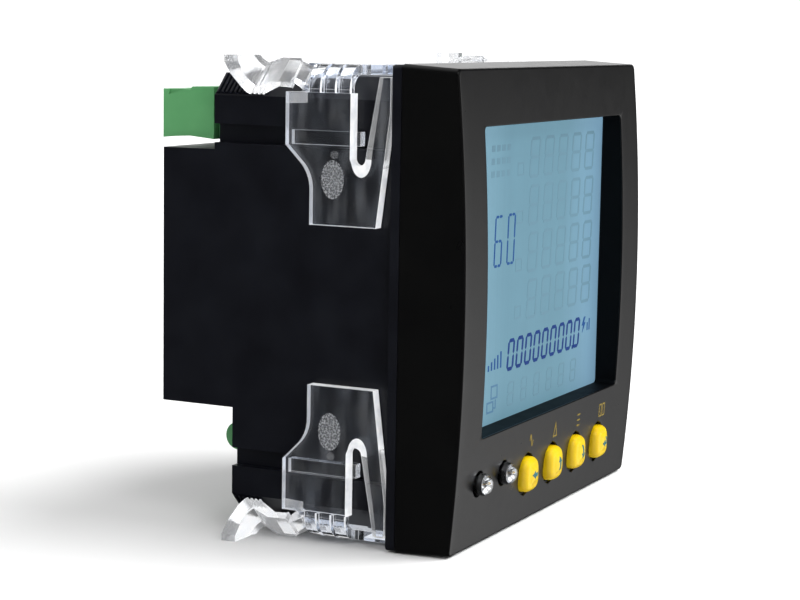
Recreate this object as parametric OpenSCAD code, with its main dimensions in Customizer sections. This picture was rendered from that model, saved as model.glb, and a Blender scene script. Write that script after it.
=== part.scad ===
// Panel-mounted electronic energy meter in the 96 x 96 mm panel format.
// Millimetres. +X is to the right seen from the front, +Y goes into the panel, +Z is up.
// The origin is the centre of the panel cut-out, in the plane where the bezel seats on the panel.

/* [Bezel] */
// Side of the square front bezel
bezel_side = 96; // [95:0.5:97]
// Depth of the bezel at its top and bottom edges
bezel_edge_depth = 14; // [13.5:0.5:15]
// How far the curved front bulges out at mid height
bezel_bulge = 2.4; // [1.5:0.1:3]
// Width of the display window
window_w = 74.6; // [70:0.2:75]
// Height of the display window
window_h = 61.4; // [58:0.2:62]
// Height of the middle of the window above the bezel's middle
window_z = 5.3; // [4:0.1:6]

/* [Case] */
// Width of the case behind the panel
case_w = 90.5; // [90:0.5:91]
// Height of the case behind the panel
case_h = 90.4; // [90:0.2:90.8]
// Depth of the deep middle box behind the panel
case_depth = 53.6; // [52:0.2:56]
// Depth of the upper step
upper_step_depth = 41.4; // [41:0.1:42]
// Depth of the lower step
lower_step_depth = 36.8; // [36:0.1:37.2]
// Thickness of the case walls
wall = 2; // [1.8:0.1:2.2]
// Size of the corner chamfers that carry the ratchet teeth
corner_chamfer = 4.4; // [4.2:0.1:4.6]

/* [Buttons and lamps] */
// Distance between neighbouring buttons
button_pitch = 13.4; // [13:0.1:13.8]
// Width of a button cap
button_w = 7.6; // [7:0.1:8]
// Height of a button cap
button_h = 7.6; // [7.4:0.1:8.2]
// Distance between the two indicator lamps
lamp_pitch = 12.1; // [11.6:0.1:12.6]
// Radius of an indicator lamp
lamp_r = 2.3; // [2.2:0.1:2.6]

/* [Clips] */
// Thickness of the clear clip walls
clip_t = 2.4; // [2:0.1:2.4]
// Distance between neighbouring ratchet teeth
tooth_pitch = 1; // [0.9:0.05:1.1]
// Height of the ratchet teeth
tooth_h = 0.5; // [0.4:0.05:0.55]

/* [Connectors] */
// Distance between the poles of the pluggable connectors
plug_pitch = 3.81; // [3.5:0.01:3.81]
// Number of poles in each pluggable connector
plug_poles = 9; // [6:1:9]
// Distance between the poles of the voltage connector
voltage_pitch = 5.08; // [5:0.01:5.08]
// Number of poles in the voltage connector
voltage_poles = 15; // [10:1:15]

/* [Hidden] */
$fn = 48;
cut = 0.1;

// Bezel and display
half = bezel_side / 2;
front_draft = 0.64;
front_half = half - front_draft;
bezel_back = -2.2;
flange_t = 2;
flange_side = bezel_side - 0.4;
crown_y = -bezel_edge_depth - bezel_bulge;
crown_r = (front_half * front_half + bezel_bulge * bezel_bulge) / (2 * bezel_bulge);
skin_back = -12;
collar_t = 1.6;
collar_back = -10.7;
boss_at = 42.6;
boss_r = 2.1;
glass_w = window_w + 5;
glass_h = window_h + 6.4;
glass_t = 1.1;
film_t = 0.2;
lcd_front = collar_back + 0.1;
glass_1 = lcd_front + film_t;
glass_2 = glass_1 + glass_t;
light_front = glass_2 + glass_t + 0.1;
light_back = -5;
board_t = 1.6;
display_y = -4.6;
display_side = 89;
pin_pitch = 3;
pin_r = 0.25;

// Buttons and lamps
button_x = -12.3;
button_z = -37.2;
button_travel = 0.5;
cap_front = -17.5;
cap_crown_r = 9;
cap_flange_y = -11.6;
cap_flange_t = 0.7;
stem_r = 1.5;
stem_back = -9.75;
switch_side = 6;
switch_h = 3.5;
plunger_r = 1.7;
plunger_back = -5.9;
notch_w = 4.4;
notch_h = 1.3;
lamp_x = -36.9;
lamp_z = -34.6;
lamp_dome_y = -15.8;
lamp_flange_y = -8;

// Case
half_w = case_w / 2;
half_h = case_h / 2;
box_top = 29.8;
box_bottom = -22.9;
groove_top = 35;
groove_bottom = 31.2;
groove_depth = 2;
narrow_half = half_w - groove_depth - wall - 0.2;
wide_half = half_w - wall - 0.2;
rail_wall = 2.2;
teeth_start = 29.4;
teeth_half_w = 2.6;
corner_x = half_w - corner_chamfer / 2;
corner_z = half_h - corner_chamfer / 2;

// Boards and what stands between them
measure_y = 12;
power_y = 30;
inner_board_w = 2 * narrow_half - 1;
inner_board_h = 83;
standoff_x = 36;
standoff_top = 26;
standoff_bottom = -37;
standoff_r = 2.9;
screw_r = 1.25;
screw_head_r = 2.3;
link_x = 18;
link_z = 37.5;
link_w = 26;
link_d = 5;
link_split = 5;
transformer_x = 17;
transformer_z = 2;

// Current inputs
input_pitch = 26;
input_top = 12.2;
input_bottom = -6.8;
ct_y = 39.8;
ct_z = 2.7;
ct_r = 7.8;
ct_bore_r = 2.6;
ct_h = 8.4;
bar_r = 2.2;
stud_r = 3.2;
stud_end = 49.2;
block_w = 77.2;
block_top = 22.4;
block_bottom = -17;
block_front = 48;
block_back = 53.2;
pocket_w = 20;
pocket_h = 17;
pocket_floor = 49;
plate_side = 9;
plate_t = 1.2;

// Pluggable connectors
plug_x = 22.6;
plug_z = 36.9;
header_w = 36.8;
header_h = 9.6;
header_back = 42.9;
header_wall = 0.95;
plug_front = 43.2;
plug_back = 55.4;
plug_half_w = 20;
plug_bottom = 31.6;
plug_top = 41.6;
plug_band_top = 42.2;
plug_band_back = 48.9;
nose_gap = 0.35;
nose_front = 34.2;
entry_z = 34.6;
clamp_well_y = 51.6;
voltage_z = -30.3;
voltage_h = 5.8;
voltage_back = 42.4;
voltage_floor = 32.8;

// Clips and their levers
clip_gap = 0.3;
ear_in = half_w + clip_gap;
ear_out = ear_in + clip_t;
ear_bottom = 16;
ear_top = 42;
ear_rear = 23.4;
ear_foot_rear = 17.85;
ear_waist_r = 7.5;
ear_waist_z = 22.95;
slot_z = 29.35;
slot_r = 1.36;
slot_rear = 8.65;
arm_end_y = 3.06;
arm_end_z = 45.3;
plate_z0 = half_h + 0.4;
plate_z1 = plate_z0 + 2;
plate_rear = 18.2;
fin_centre_x = 43;
fin_centre_z = 42.6;
fin_out = ear_out - fin_centre_x;
fin_in = fin_out - 2;
fin_t = 2.5;
fin_ys = [10.4, 13.7, 17];
pivot_y = 20;
pivot_w = 1.6;
pivot_r = 0.7;
pivot_gap = 0.06;
lever_root_r = 1.3;
lever_half_w = 3.3;
root_v0 = -1.9;
root_v1 = 2.6;
lever_gap = 0.25;
nose_y0 = 28.9;
nose_teeth = 4;
tab_front = 31.7;
tab_rear = 34.9;
tab_z = 49;
tab_x = 52.4;

function grid_x(i, count, pitch) = (i - (count - 1) / 2) * pitch;
function lamp_at(i) = [lamp_x + i * lamp_pitch, lamp_z];
function button_at(i) = [button_x + (i - 1) * button_pitch, button_z];
function row(count, pitch) = [for (i = [0 : count - 1]) grid_x(i, count, pitch)];

// Extrudes a front-view outline from y0 back to y1
module slab(y0, y1) {
    translate([0, y1, 0]) rotate([90, 0, 0]) linear_extrude(height = y1 - y0) children();
}

// Extrudes a side-view outline (depth, height) from x0 to x1
module side_slab(x0, x1) {
    translate([x0, 0, 0]) rotate([90, 0, 90]) linear_extrude(height = x1 - x0) children();
}

// Extrudes a plan-view outline from z0 up to z1
module floor_slab(z0, z1) {
    translate([0, 0, z0]) linear_extrude(height = z1 - z0) children();
}

// Round rod along +Y
module rod(x, z, r, y0, y1) {
    translate([x, y1, z]) rotate([90, 0, 0]) cylinder(r = r, h = y1 - y0);
}

module rounded_rect(w, h, r) {
    square([w - 2 * r, h], center = true);
    square([w, h - 2 * r], center = true);
    for (sx = [-1, 1], sz = [-1, 1])
        translate([sx * (w / 2 - r), sz * (h / 2 - r)]) circle(r = r, $fn = 32);
}

// Rectangle between two corners
module span(a, b) {
    translate(a) square(b - a);
}

module both_sides() {
    children();
    mirror([1, 0, 0]) children();
}

// The four fixing points of the two inner boards
module at_standoffs() {
    for (sx = [-1, 1], z = [standoff_top, standoff_bottom])
        translate([sx * standoff_x, 0, z]) children();
}

module at_display_corners() {
    for (sx = [-1, 1], sz = [-1, 1]) translate([sx * boss_at, 0, sz * boss_at]) children();
}

// Frame on the top left chamfer: X runs across the chamfer, Y is depth, Z points away from it
module corner_frame() {
    translate([-corner_x, 0, corner_z]) rotate([0, -45, 0]) children();
}

// ---- Front ----

module bezel_block() {
    intersection() {
        side_slab(-half, half) polygon([[bezel_back, half], [bezel_back, -half],
            [-bezel_edge_depth, -front_half], [crown_y - 1, -front_half],
            [crown_y - 1, front_half], [-bezel_edge_depth, front_half]]);
        slab(crown_y - 1, bezel_back) rounded_rect(bezel_side, bezel_side, 1.2);
        translate([-half, crown_y + crown_r, 0]) rotate([0, 90, 0])
            cylinder(r = crown_r, h = bezel_side, $fn = 720);
    }
}

module button_hole() {
    rounded_rect(button_w + 0.8, button_h + 0.8, 3.2);
}

module button_notches() {
    base = button_h / 2 + 0.2;
    for (s = [-1, 1]) scale([1, s])
        polygon([[-notch_w / 2, base], [notch_w / 2, base], [0, base + notch_h]]);
}

module front_bezel() {
    color("#2b2b2d") difference() {
        union() {
            difference() {
                bezel_block();
                slab(skin_back, bezel_back + cut) rounded_rect(91.6, 91.2, 1.5);
            }
            translate([0, 0, window_z]) slab(skin_back - 0.5, collar_back)
                rounded_rect(window_w + 2 * collar_t, window_h + 2 * collar_t, 1.6);
            at_display_corners() rod(0, 0, boss_r, skin_back - 0.5, display_y);
        }
        translate([0, 0, window_z]) slab(crown_y - 1, collar_back + cut)
            rounded_rect(window_w, window_h, 1);
        for (i = [1 : 4]) translate([button_at(i)[0], 0, button_at(i)[1]]) {
            slab(crown_y - 1, skin_back + cut) button_hole();
            slab(crown_y - 1, -14) button_notches();
        }
        for (i = [0, 1]) rod(lamp_at(i)[0], lamp_at(i)[1], lamp_r + 0.3, crown_y - 1, skin_back + cut);
        at_display_corners() rod(0, 0, 0.9, skin_back + 1, display_y + cut);
    }
}

// ---- Display ----

module lcd_front_polarizer() {
    color("#7ba0b6") translate([0, 0, window_z]) slab(lcd_front, glass_1)
        square([glass_w - 1, glass_h - 1], center = true);
}

module lcd_front_glass() {
    color("#a9c4cc") translate([0, 0, window_z]) slab(glass_1, glass_2)
        square([glass_w, glass_h - 3], center = true);
}

module lcd_rear_glass() {
    color("#9dbac4") translate([0, 0, window_z]) slab(glass_2, glass_2 + glass_t)
        square([glass_w, glass_h], center = true);
}

module lcd_backlight() {
    color("white") translate([0, 0, window_z]) slab(light_front, light_back)
        rounded_rect(glass_w - 1.6, glass_h - 5, 1);
}

module lcd_frame() {
    color("#1c1c1e") translate([0, 0, window_z]) difference() {
        slab(glass_2 + glass_t + 0.1, display_y - 0.05) rounded_rect(glass_w + 1.4, glass_h - 1.4, 1);
        slab(light_front - cut, display_y + cut) rounded_rect(glass_w - 1.2, glass_h - 4.6, 1);
    }
}

module lcd_pins() {
    count = floor(glass_w / pin_pitch) - 1;
    color("silver") for (x = row(count, pin_pitch), s = [-1, 1])
        rod(x, window_z + s * (glass_h / 2 - 0.35), pin_r, glass_2 + glass_t, display_y);
}

module display_board() {
    color("#1f6b3a") difference() {
        slab(display_y, display_y + board_t) rounded_rect(display_side, display_side, 1);
        at_display_corners() rod(0, 0, 1.1, display_y - cut, display_y + board_t + cut);
    }
}

module display_screws() {
    color("silver") at_display_corners() {
        rod(0, 0, 0.85, display_y - 4, display_y + board_t);
        rod(0, 0, 1.8, display_y + board_t, display_y + board_t + 0.7);
    }
}

// ---- Buttons and lamps ----

module button_cap(i) {
    color("#f2d40c") translate([button_at(i)[0], 0, button_at(i)[1]]) {
        intersection() {
            slab(cap_front - 1, cap_flange_y) rounded_rect(button_w, button_h, 2.9);
            translate([0, cap_front + cap_crown_r, 0]) sphere(r = cap_crown_r, $fn = 96);
        }
        slab(cap_flange_y, cap_flange_y + cap_flange_t)
            rounded_rect(button_w + 2, button_h + 2, 3);
        rod(0, 0, stem_r, cap_flange_y, stem_back);
    }
}

module button_cap_1() { button_cap(1); }
module button_cap_2() { button_cap(2); }
module button_cap_3() { button_cap(3); }
module button_cap_4() { button_cap(4); }

module switch_plunger(i) {
    color("#d9d4c8") rod(button_at(i)[0], button_at(i)[1], plunger_r, stem_back, plunger_back);
}

module switch_plunger_1() { switch_plunger(1); }
module switch_plunger_2() { switch_plunger(2); }
module switch_plunger_3() { switch_plunger(3); }
module switch_plunger_4() { switch_plunger(4); }

module switch_bodies() {
    bore_r = plunger_r + 0.06;
    color("#222222") for (i = [1 : 4]) translate([button_at(i)[0], 0, button_at(i)[1]]) difference() {
        slab(display_y - switch_h, display_y) rounded_rect(switch_side, switch_side, 0.6);
        rod(0, 0, bore_r, display_y - switch_h - cut, display_y - 0.5);
    }
}

// Clear lamp with a domed end, hollowed for its lead frame
module led_lens(i) {
    color("#d8dde0") translate([lamp_at(i)[0], 0, lamp_at(i)[1]]) difference() {
        union() {
            rod(0, 0, lamp_r, lamp_dome_y, lamp_flange_y + 1);
            translate([0, lamp_dome_y, 0]) sphere(r = lamp_r);
            rod(0, 0, lamp_r + 0.4, lamp_flange_y, lamp_flange_y + 1);
        }
        slab(lamp_dome_y + 1.2, lamp_flange_y + 1 + cut) square([3, 1], center = true);
    }
}

module led_lens_left() { led_lens(0); }
module led_lens_right() { led_lens(1); }

module led_lead_frames() {
    color("silver") for (i = [0, 1]) translate([lamp_at(i)[0], 0, lamp_at(i)[1]]) {
        slab(lamp_dome_y + 1.5, lamp_dome_y + 3) span([-1.3, -0.3], [0.3, 0.3]);
        slab(lamp_dome_y + 1.8, lamp_dome_y + 3) span([0.6, -0.3], [1.3, 0.3]);
        for (s = [-1, 1]) translate([s * 1, 0, 0])
            slab(lamp_dome_y + 3, display_y) square([0.5, 0.5], center = true);
    }
}

module led_spacers() {
    color("#1c1c1e") for (i = [0, 1]) translate([lamp_at(i)[0], 0, lamp_at(i)[1]]) difference() {
        rod(0, 0, lamp_r + 0.4, lamp_flange_y + 1, display_y);
        slab(lamp_flange_y + 1 - cut, display_y + cut) square([3, 1], center = true);
    }
}

// ---- Case ----

module case_outline() {
    difference() {
        polygon([[-half_w, -half_h + corner_chamfer], [-half_w + corner_chamfer, -half_h],
            [half_w - corner_chamfer, -half_h], [half_w, -half_h + corner_chamfer],
            [half_w, half_h - corner_chamfer], [half_w - corner_chamfer, half_h],
            [-half_w + corner_chamfer, half_h], [-half_w, half_h - corner_chamfer]]);
        for (sx = [-1, 1], sz = [-1, 1])
            translate([sx * half_w, sz * (groove_top + groove_bottom) / 2])
                square([2 * groove_depth, groove_top - groove_bottom], center = true);
    }
}

module case_hollow() {
    slab(-flange_t - cut, lower_step_depth - wall)
        square([2 * narrow_half, case_h - 2 * rail_wall], center = true);
    slab(-flange_t - cut, lower_step_depth - wall)
        span([-wide_half, -groove_bottom + wall], [wide_half, groove_bottom - wall]);
    slab(-flange_t - cut, upper_step_depth - wall)
        span([-narrow_half, box_bottom + wall], [narrow_half, half_h - rail_wall]);
    slab(-flange_t - cut, case_depth - wall)
        span([-wide_half, box_bottom + wall], [wide_half, box_top - wall]);
}

// Saw teeth across one corner chamfer, steep towards the front
module corner_teeth(end) {
    count = floor((end - teeth_start) / tooth_pitch);
    points = [for (i = [0 : count - 1], p = [[0, 0], [0.1, tooth_h], [0.45, tooth_h], [0.95, 0]])
        [end + (i - count + p[0]) * tooth_pitch, p[1]]];
    corner_frame() side_slab(-teeth_half_w, teeth_half_w)
        polygon(concat([[end - count * tooth_pitch, -0.4]], points, [[end - 0.05, -0.4]]));
}

module rear_case() {
    color("#16171c") difference() {
        union() {
            slab(-flange_t, 0) rounded_rect(flange_side, flange_side, 1.2);
            slab(-cut, lower_step_depth) case_outline();
            slab(-cut, upper_step_depth) intersection() {
                case_outline();
                span([-half_w, box_bottom], [half_w, half_h]);
            }
            slab(0, case_depth) span([-half_w, box_bottom], [half_w, box_top]);
            both_sides() corner_teeth(upper_step_depth);
            both_sides() mirror([0, 0, 1]) corner_teeth(lower_step_depth);
        }
        difference() {
            case_hollow();
            for (sx = [-1, 1]) {
                rod(sx * standoff_x, standoff_top, 3, power_y + board_t, case_depth);
                rod(sx * standoff_x, standoff_bottom, 3, power_y + board_t, case_depth);
            }
        }
        at_standoffs() rod(0, 0, screw_r + 0.15, power_y + board_t - cut, power_y + board_t + 2.5);
        for (s = [-1, 1]) translate([s * plug_x, 0, plug_z])
            slab(upper_step_depth - wall - cut, upper_step_depth + cut)
                square([header_w + 0.2, header_h + 0.2], center = true);
        translate([0, 0, voltage_z]) slab(lower_step_depth - wall - cut, lower_step_depth + cut)
            square([voltage_poles * voltage_pitch + 1, voltage_h + 0.4], center = true);
        slab(case_depth - wall - cut, case_depth + cut)
            span([-block_w / 2 - 0.2, block_bottom - 0.2], [block_w / 2 + 0.2, block_top + 0.2]);
    }
}

// ---- Boards ----

module inner_board(y) {
    difference() {
        slab(y, y + board_t) rounded_rect(inner_board_w, inner_board_h, 1);
        at_standoffs() rod(0, 0, screw_r + 0.2, y - cut, y + board_t + cut);
    }
}

module measure_board() {
    color("#1f6b3a") inner_board(measure_y);
}

module power_board() {
    color("#1f6b3a") inner_board(power_y);
}

module microcontroller() {
    color("#202124") translate([-14, 0, 8]) slab(measure_y - 1.4, measure_y)
        square([12, 12], center = true);
}

module metering_chip() {
    color("#202124") translate([10, 0, -14]) slab(measure_y - 1.2, measure_y)
        square([7.8, 10.3], center = true);
}

module display_link_socket() {
    color("#1c1c1e") translate([link_x, 0, link_z])
        slab(display_y + board_t, link_split) square([link_w, link_d], center = true);
}

module display_link_header() {
    color("#2a2a2c") translate([link_x, 0, link_z])
        slab(link_split, measure_y) square([link_w, link_d], center = true);
}

module board_standoffs() {
    color("#c9a24a") at_standoffs() difference() {
        union() {
            translate([0, power_y, 0]) rotate([90, 0, 0])
                cylinder(r = standoff_r, h = power_y - measure_y - board_t, $fn = 6);
            rod(0, 0, screw_r, power_y, power_y + board_t + 2.4);
        }
        rod(0, 0, screw_r + 0.05, measure_y + board_t - cut, measure_y + board_t + 7);
    }
}

module board_screws() {
    color("silver") at_standoffs() {
        rod(0, 0, screw_r, measure_y, measure_y + board_t + 6);
        difference() {
            rod(0, 0, screw_head_r, measure_y - 1.6, measure_y);
            for (a = [0, 90]) rotate([0, a, 0]) slab(measure_y - 1.7, measure_y - 0.8)
                square([2.6, 0.6], center = true);
        }
    }
}

module stack_header() {
    color("#1c1c1e") translate([0, 0, -37]) slab(measure_y + board_t, power_y)
        square([22, 5], center = true);
}

module transformer_core() {
    color("#3a3a3e") translate([transformer_x, 0, transformer_z]) difference() {
        slab(power_y - 14, power_y - 2) square([18, 20], center = true);
        for (s = [-1, 1]) translate([0, 0, s * 5.4]) slab(power_y - 14 - cut, power_y - 2 + cut)
            square([12, 4.8], center = true);
    }
}

module transformer_winding() {
    color("#d8a63a") translate([transformer_x, 0, transformer_z]) {
        for (s = [-1, 1]) translate([0, 0, s * 5.4]) slab(power_y - 15.4, power_y - 0.6)
            square([11.8, 4.6], center = true);
        slab(power_y - 0.6, power_y) square([18, 20], center = true);
    }
}

module electrolytic(x, z, r, h) {
    rod(x, z, r, power_y - h, power_y - 0.6);
    rod(x, z, r - 0.4, power_y - 0.7, power_y);
}

module bulk_capacitor() {
    color("#2d3e6e") electrolytic(33.4, 4, 4.9, 14);
}

module output_capacitors() {
    color("#2d3e6e") for (x = [12, 22.5]) electrolytic(x, -22, 4, 11.5);
}

// ---- Current inputs ----

module current_transformer(i) {
    x = (i - 2) * input_pitch;
    color("#1d2a52") difference() {
        union() {
            translate([x, ct_y, ct_z - ct_h / 2]) cylinder(r = ct_r, h = ct_h);
            translate([x, 0, ct_z]) slab(power_y + board_t, ct_y - ct_r + 2.5)
                square([12, ct_h], center = true);
        }
        translate([x, ct_y, ct_z - ct_h / 2 - cut]) cylinder(r = ct_bore_r, h = ct_h + 2 * cut);
    }
}

module current_transformer_1() { current_transformer(1); }
module current_transformer_2() { current_transformer(2); }
module current_transformer_3() { current_transformer(3); }

module at_inputs() {
    for (x = row(3, input_pitch), z = [input_top, input_bottom]) translate([x, 0, z]) children();
}

module primary_bars() {
    color("#b87333") difference() {
        union() {
            for (x = row(3, input_pitch)) translate([x, ct_y, input_bottom - stud_r])
                cylinder(r = bar_r, h = input_top - input_bottom + 2 * stud_r);
            at_inputs() rod(0, 0, stud_r, ct_y, stud_end);
        }
        at_inputs() rod(0, 0, 1.6, stud_end - 5, stud_end + cut);
    }
}

module current_terminal_block() {
    color("#1b1b1e") difference() {
        slab(block_front, block_back)
            span([-block_w / 2, block_bottom], [block_w / 2, block_top]);
        at_inputs() {
            slab(pocket_floor, block_back + cut) square([pocket_w, pocket_h], center = true);
            rod(0, 0, stud_r + 0.2, block_front - cut, pocket_floor + cut);
        }
    }
}

module terminal_clamp_plates() {
    color("#b9bcc0") at_inputs() difference() {
        slab(stud_end, stud_end + plate_t) square([plate_side, plate_side], center = true);
        rod(0, 0, 1.9, stud_end - cut, stud_end + plate_t + cut);
    }
}

module terminal_screws() {
    head = stud_end + plate_t;
    color("#c8cacd") at_inputs() {
        rod(0, 0, 1.5, stud_end - 4.5, head);
        difference() {
            rod(0, 0, 3.3, head, head + 2.2);
            for (a = [0, 90]) rotate([0, a, 0]) slab(head + 1, head + 2.3)
                square([4, 0.8], center = true);
        }
    }
}

// ---- Connectors ----

module socket_header(s) {
    color("#4f9a5e") translate([s * plug_x, 0, plug_z]) difference() {
        slab(power_y + board_t, header_back) square([header_w, header_h], center = true);
        slab(power_y + board_t + 2, header_back + cut)
            square([header_w - 2 * header_wall, header_h - 2 * header_wall], center = true);
    }
}

module left_header() { socket_header(-1); }
module right_header() { socket_header(1); }

module header_pins() {
    color("#d8d9da") {
        for (s = [-1, 1], x = row(plug_poles, plug_pitch))
            rod(s * plug_x + x, plug_z, 0.5, power_y - 1.5, header_back - 2.5);
        for (x = row(voltage_poles, voltage_pitch))
            rod(x, voltage_z, 0.55, power_y - 1.5, voltage_back - 1.6);
    }
}

module voltage_header() {
    r = voltage_h / 2;
    half_len = voltage_poles * voltage_pitch / 2 + 0.3;
    color("#4f9a5e") difference() {
        translate([0, 0, voltage_z]) union() {
            slab(power_y + board_t, voltage_back - r) square([2 * half_len, voltage_h], center = true);
            translate([-half_len, voltage_back - r, 0]) rotate([0, 90, 0])
                cylinder(r = r, h = 2 * half_len);
        }
        for (x = row(voltage_poles, voltage_pitch)) translate([x, 0, voltage_z])
            slab(voltage_floor, voltage_back + cut) square([4, 3.6], center = true);
        for (x = row(voltage_poles, voltage_pitch))
            rod(x, voltage_z, 0.7, power_y + board_t - cut, power_y + board_t + 2);
    }
}

module at_poles(s) {
    for (x = row(plug_poles, plug_pitch)) translate([s * plug_x + x, 0, 0]) children();
}

module plug_body(s) {
    nose_w = header_w - 2 * header_wall - 2 * nose_gap;
    nose_h = header_h - 2 * header_wall - 2 * nose_gap;
    color("#579a62") difference() {
        union() {
            translate([s * plug_x, 0, 0]) {
                side_slab(-plug_half_w, plug_half_w) polygon([[plug_front, plug_bottom],
                    [plug_band_back, plug_bottom + 0.5], [plug_back - 1, plug_bottom + 0.2],
                    [plug_back, plug_bottom], [plug_back, plug_top], [plug_band_back, plug_top],
                    [plug_band_back - 0.5, plug_band_top], [plug_front, plug_band_top]]);
                translate([0, 0, plug_z]) slab(nose_front, plug_front + cut)
                    square([nose_w, nose_h], center = true);
            }
        }
        at_poles(s) {
            translate([0, 0, entry_z]) slab(plug_back - 9, plug_back + cut)
                square([2.8, 3], center = true);
            translate([0, clamp_well_y, entry_z]) cylinder(r = 1.45, h = plug_top);
            rod(0, plug_z, 0.95, nose_front - cut, plug_front - 2);
        }
        for (e = [-1, 1]) translate([s * plug_x + e * plug_half_w, 0, 0])
            side_slab(-0.6, 0.6) polygon([[plug_band_back + 1, plug_top + cut],
                [plug_back - 1.2, plug_top + cut], [plug_back - 1.2, plug_top - 1.1]]);
    }
}

module plug_screws(s) {
    color("#c8cacd") at_poles(s) {
        translate([0, clamp_well_y, entry_z + 1.6]) cylinder(r = 0.9, h = 2.6);
        difference() {
            translate([0, clamp_well_y, entry_z + 4.2]) cylinder(r = 1.35, h = 1.8);
            translate([-2, clamp_well_y - 0.25, entry_z + 5.4]) cube([4, 0.5, 1]);
        }
    }
}

module plug_clamps(s) {
    color("#b9bcc0") at_poles(s) difference() {
        translate([0, 0, entry_z]) slab(plug_back - 5.6, plug_back - 2.2)
            square([2.7, 2.9], center = true);
        translate([0, 0, entry_z]) slab(plug_back - 5.7, plug_back - 2.1)
            square([1.9, 2.1], center = true);
    }
}

module left_plug_body() { plug_body(-1); }
module left_plug_screws() { plug_screws(-1); }
module left_plug_clamps() { plug_clamps(-1); }
module right_plug_body() { plug_body(1); }
module right_plug_screws() { plug_screws(1); }
module right_plug_clamps() { plug_clamps(1); }

// ---- Clips ----

// Side view of an ear (depth, height): a slot parts its slanting front arm from the rest
module ear_outline() {
    waist_y = ear_foot_rear + ear_waist_r;
    difference() {
        polygon([[clip_gap + 2.85, ear_bottom], [ear_foot_rear, ear_bottom],
            [ear_foot_rear, ear_waist_z], [waist_y - 5.3, ear_waist_z + 5.3],
            [ear_rear, ear_waist_z + 5.3 + ear_rear - waist_y + 5.3], [ear_rear, ear_top],
            [slot_rear, ear_top], [slot_rear, slot_z], [slot_rear - 2 * slot_r, slot_z],
            [arm_end_y, arm_end_z], [clip_gap, arm_end_z], [clip_gap, 38.5]]);
        translate([waist_y, ear_waist_z]) circle(r = ear_waist_r, $fn = 96);
        translate([slot_rear - slot_r, slot_z]) circle(r = slot_r);
    }
}

// Curved bar that carries the plate round the corner of the case
module corner_fin(y) {
    translate([-fin_centre_x, y + fin_t / 2, fin_centre_z]) rotate([90, 0, 0])
        linear_extrude(height = fin_t) intersection() {
            difference() {
                circle(r = fin_out);
                circle(r = fin_in);
            }
            span([-fin_out - 1, 0], [0, fin_out + 1]);
        }
}

module clip_side() {
    side_slab(-ear_out, -ear_in) ear_outline();
    for (y = fin_ys) {
        corner_fin(y);
        translate([-ear_out, y - fin_t / 2, ear_top - 0.5])
            cube([fin_out - fin_in, fin_t, fin_centre_z - ear_top + 0.6]);
    }
    side_slab(-ear_in - 0.1, -half_w + groove_depth - 0.5)
        span([slot_rear - 0.8, groove_bottom + 0.5], [ear_rear - 1.5, groove_top - 0.5]);
    corner_frame() translate([-3.5, pivot_y, pivot_w]) rotate([0, 90, 0])
        cylinder(r = pivot_r, h = 7.6);
    floor_slab(plate_z0, plate_z1) {
        span([-fin_centre_x, clip_gap], [cut, 3.6]);
        span([-fin_centre_x, clip_gap], [4 - fin_centre_x, 9]);
        span([-fin_centre_x - 0.1, 8.4], [cut, plate_rear]);
        span([-corner_x + 1.9, plate_rear - 1], [-corner_x + 6, pivot_y + 2]);
        for (x = [-32, -12]) span([x - 2, 3], [x + 2, 9]);
    }
}

module clip() {
    color("#cfd4d8") both_sides() clip_side();
}

module clip_top() { clip(); }
module clip_bottom() { mirror([0, 0, 1]) clip(); }

// Side view of a lever: depth along the case against height over the chamfer
module lever_outline() {
    tip = tooth_h + lever_gap;
    teeth = [for (i = [0 : nose_teeth - 1], p = [[0.05, tip + 0.4], [0.55, tip], [0.9, tip]])
        [nose_y0 + (i + p[0]) * tooth_pitch, p[1]]];
    nose_end = nose_y0 + nose_teeth * tooth_pitch;
    polygon(concat([[pivot_y + 0.9, 0.7], [22.4, 3], [25.1, 3.2]], teeth,
        [[nose_end + 0.3, tip + 0.4], [34, 2.6], [tab_rear, 6.5], [tab_rear, 14], [tab_front, 14],
        [tab_front, 6], [31, 4], [30.2, 3.1], [26.3, 4.6], [21.8, 4.5], [pivot_y - 0.8, 2.6]]));
}

module lever() {
    color("#cfd4d8") difference() {
        corner_frame() difference() {
            union() {
                intersection() {
                    side_slab(-lever_half_w, lever_half_w) lever_outline();
                    translate([-lever_half_w, 22.2, -1]) cube([2 * lever_half_w, 20, 16]);
                }
                side_slab(root_v0, root_v1) intersection() {
                    lever_outline();
                    span([0, 0], [22.4, 10]);
                }
                translate([root_v0, pivot_y, pivot_w]) rotate([0, 90, 0])
                    cylinder(r = lever_root_r, h = root_v1 - root_v0);
            }
            translate([-5, pivot_y, pivot_w]) rotate([0, 90, 0])
                cylinder(r = pivot_r + pivot_gap, h = 10);
        }
        translate([-80, tab_front - 5, tab_z]) cube([80, 20, 20]);
        translate([-tab_x - 20, tab_front - 5, 0]) cube([20, 20, 80]);
    }
}

module lever_top_left() { lever(); }
module lever_top_right() { mirror([1, 0, 0]) lever(); }
module lever_bottom_left() { mirror([0, 0, 1]) lever(); }
module lever_bottom_right() { mirror([1, 0, 0]) mirror([0, 0, 1]) lever(); }

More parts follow.
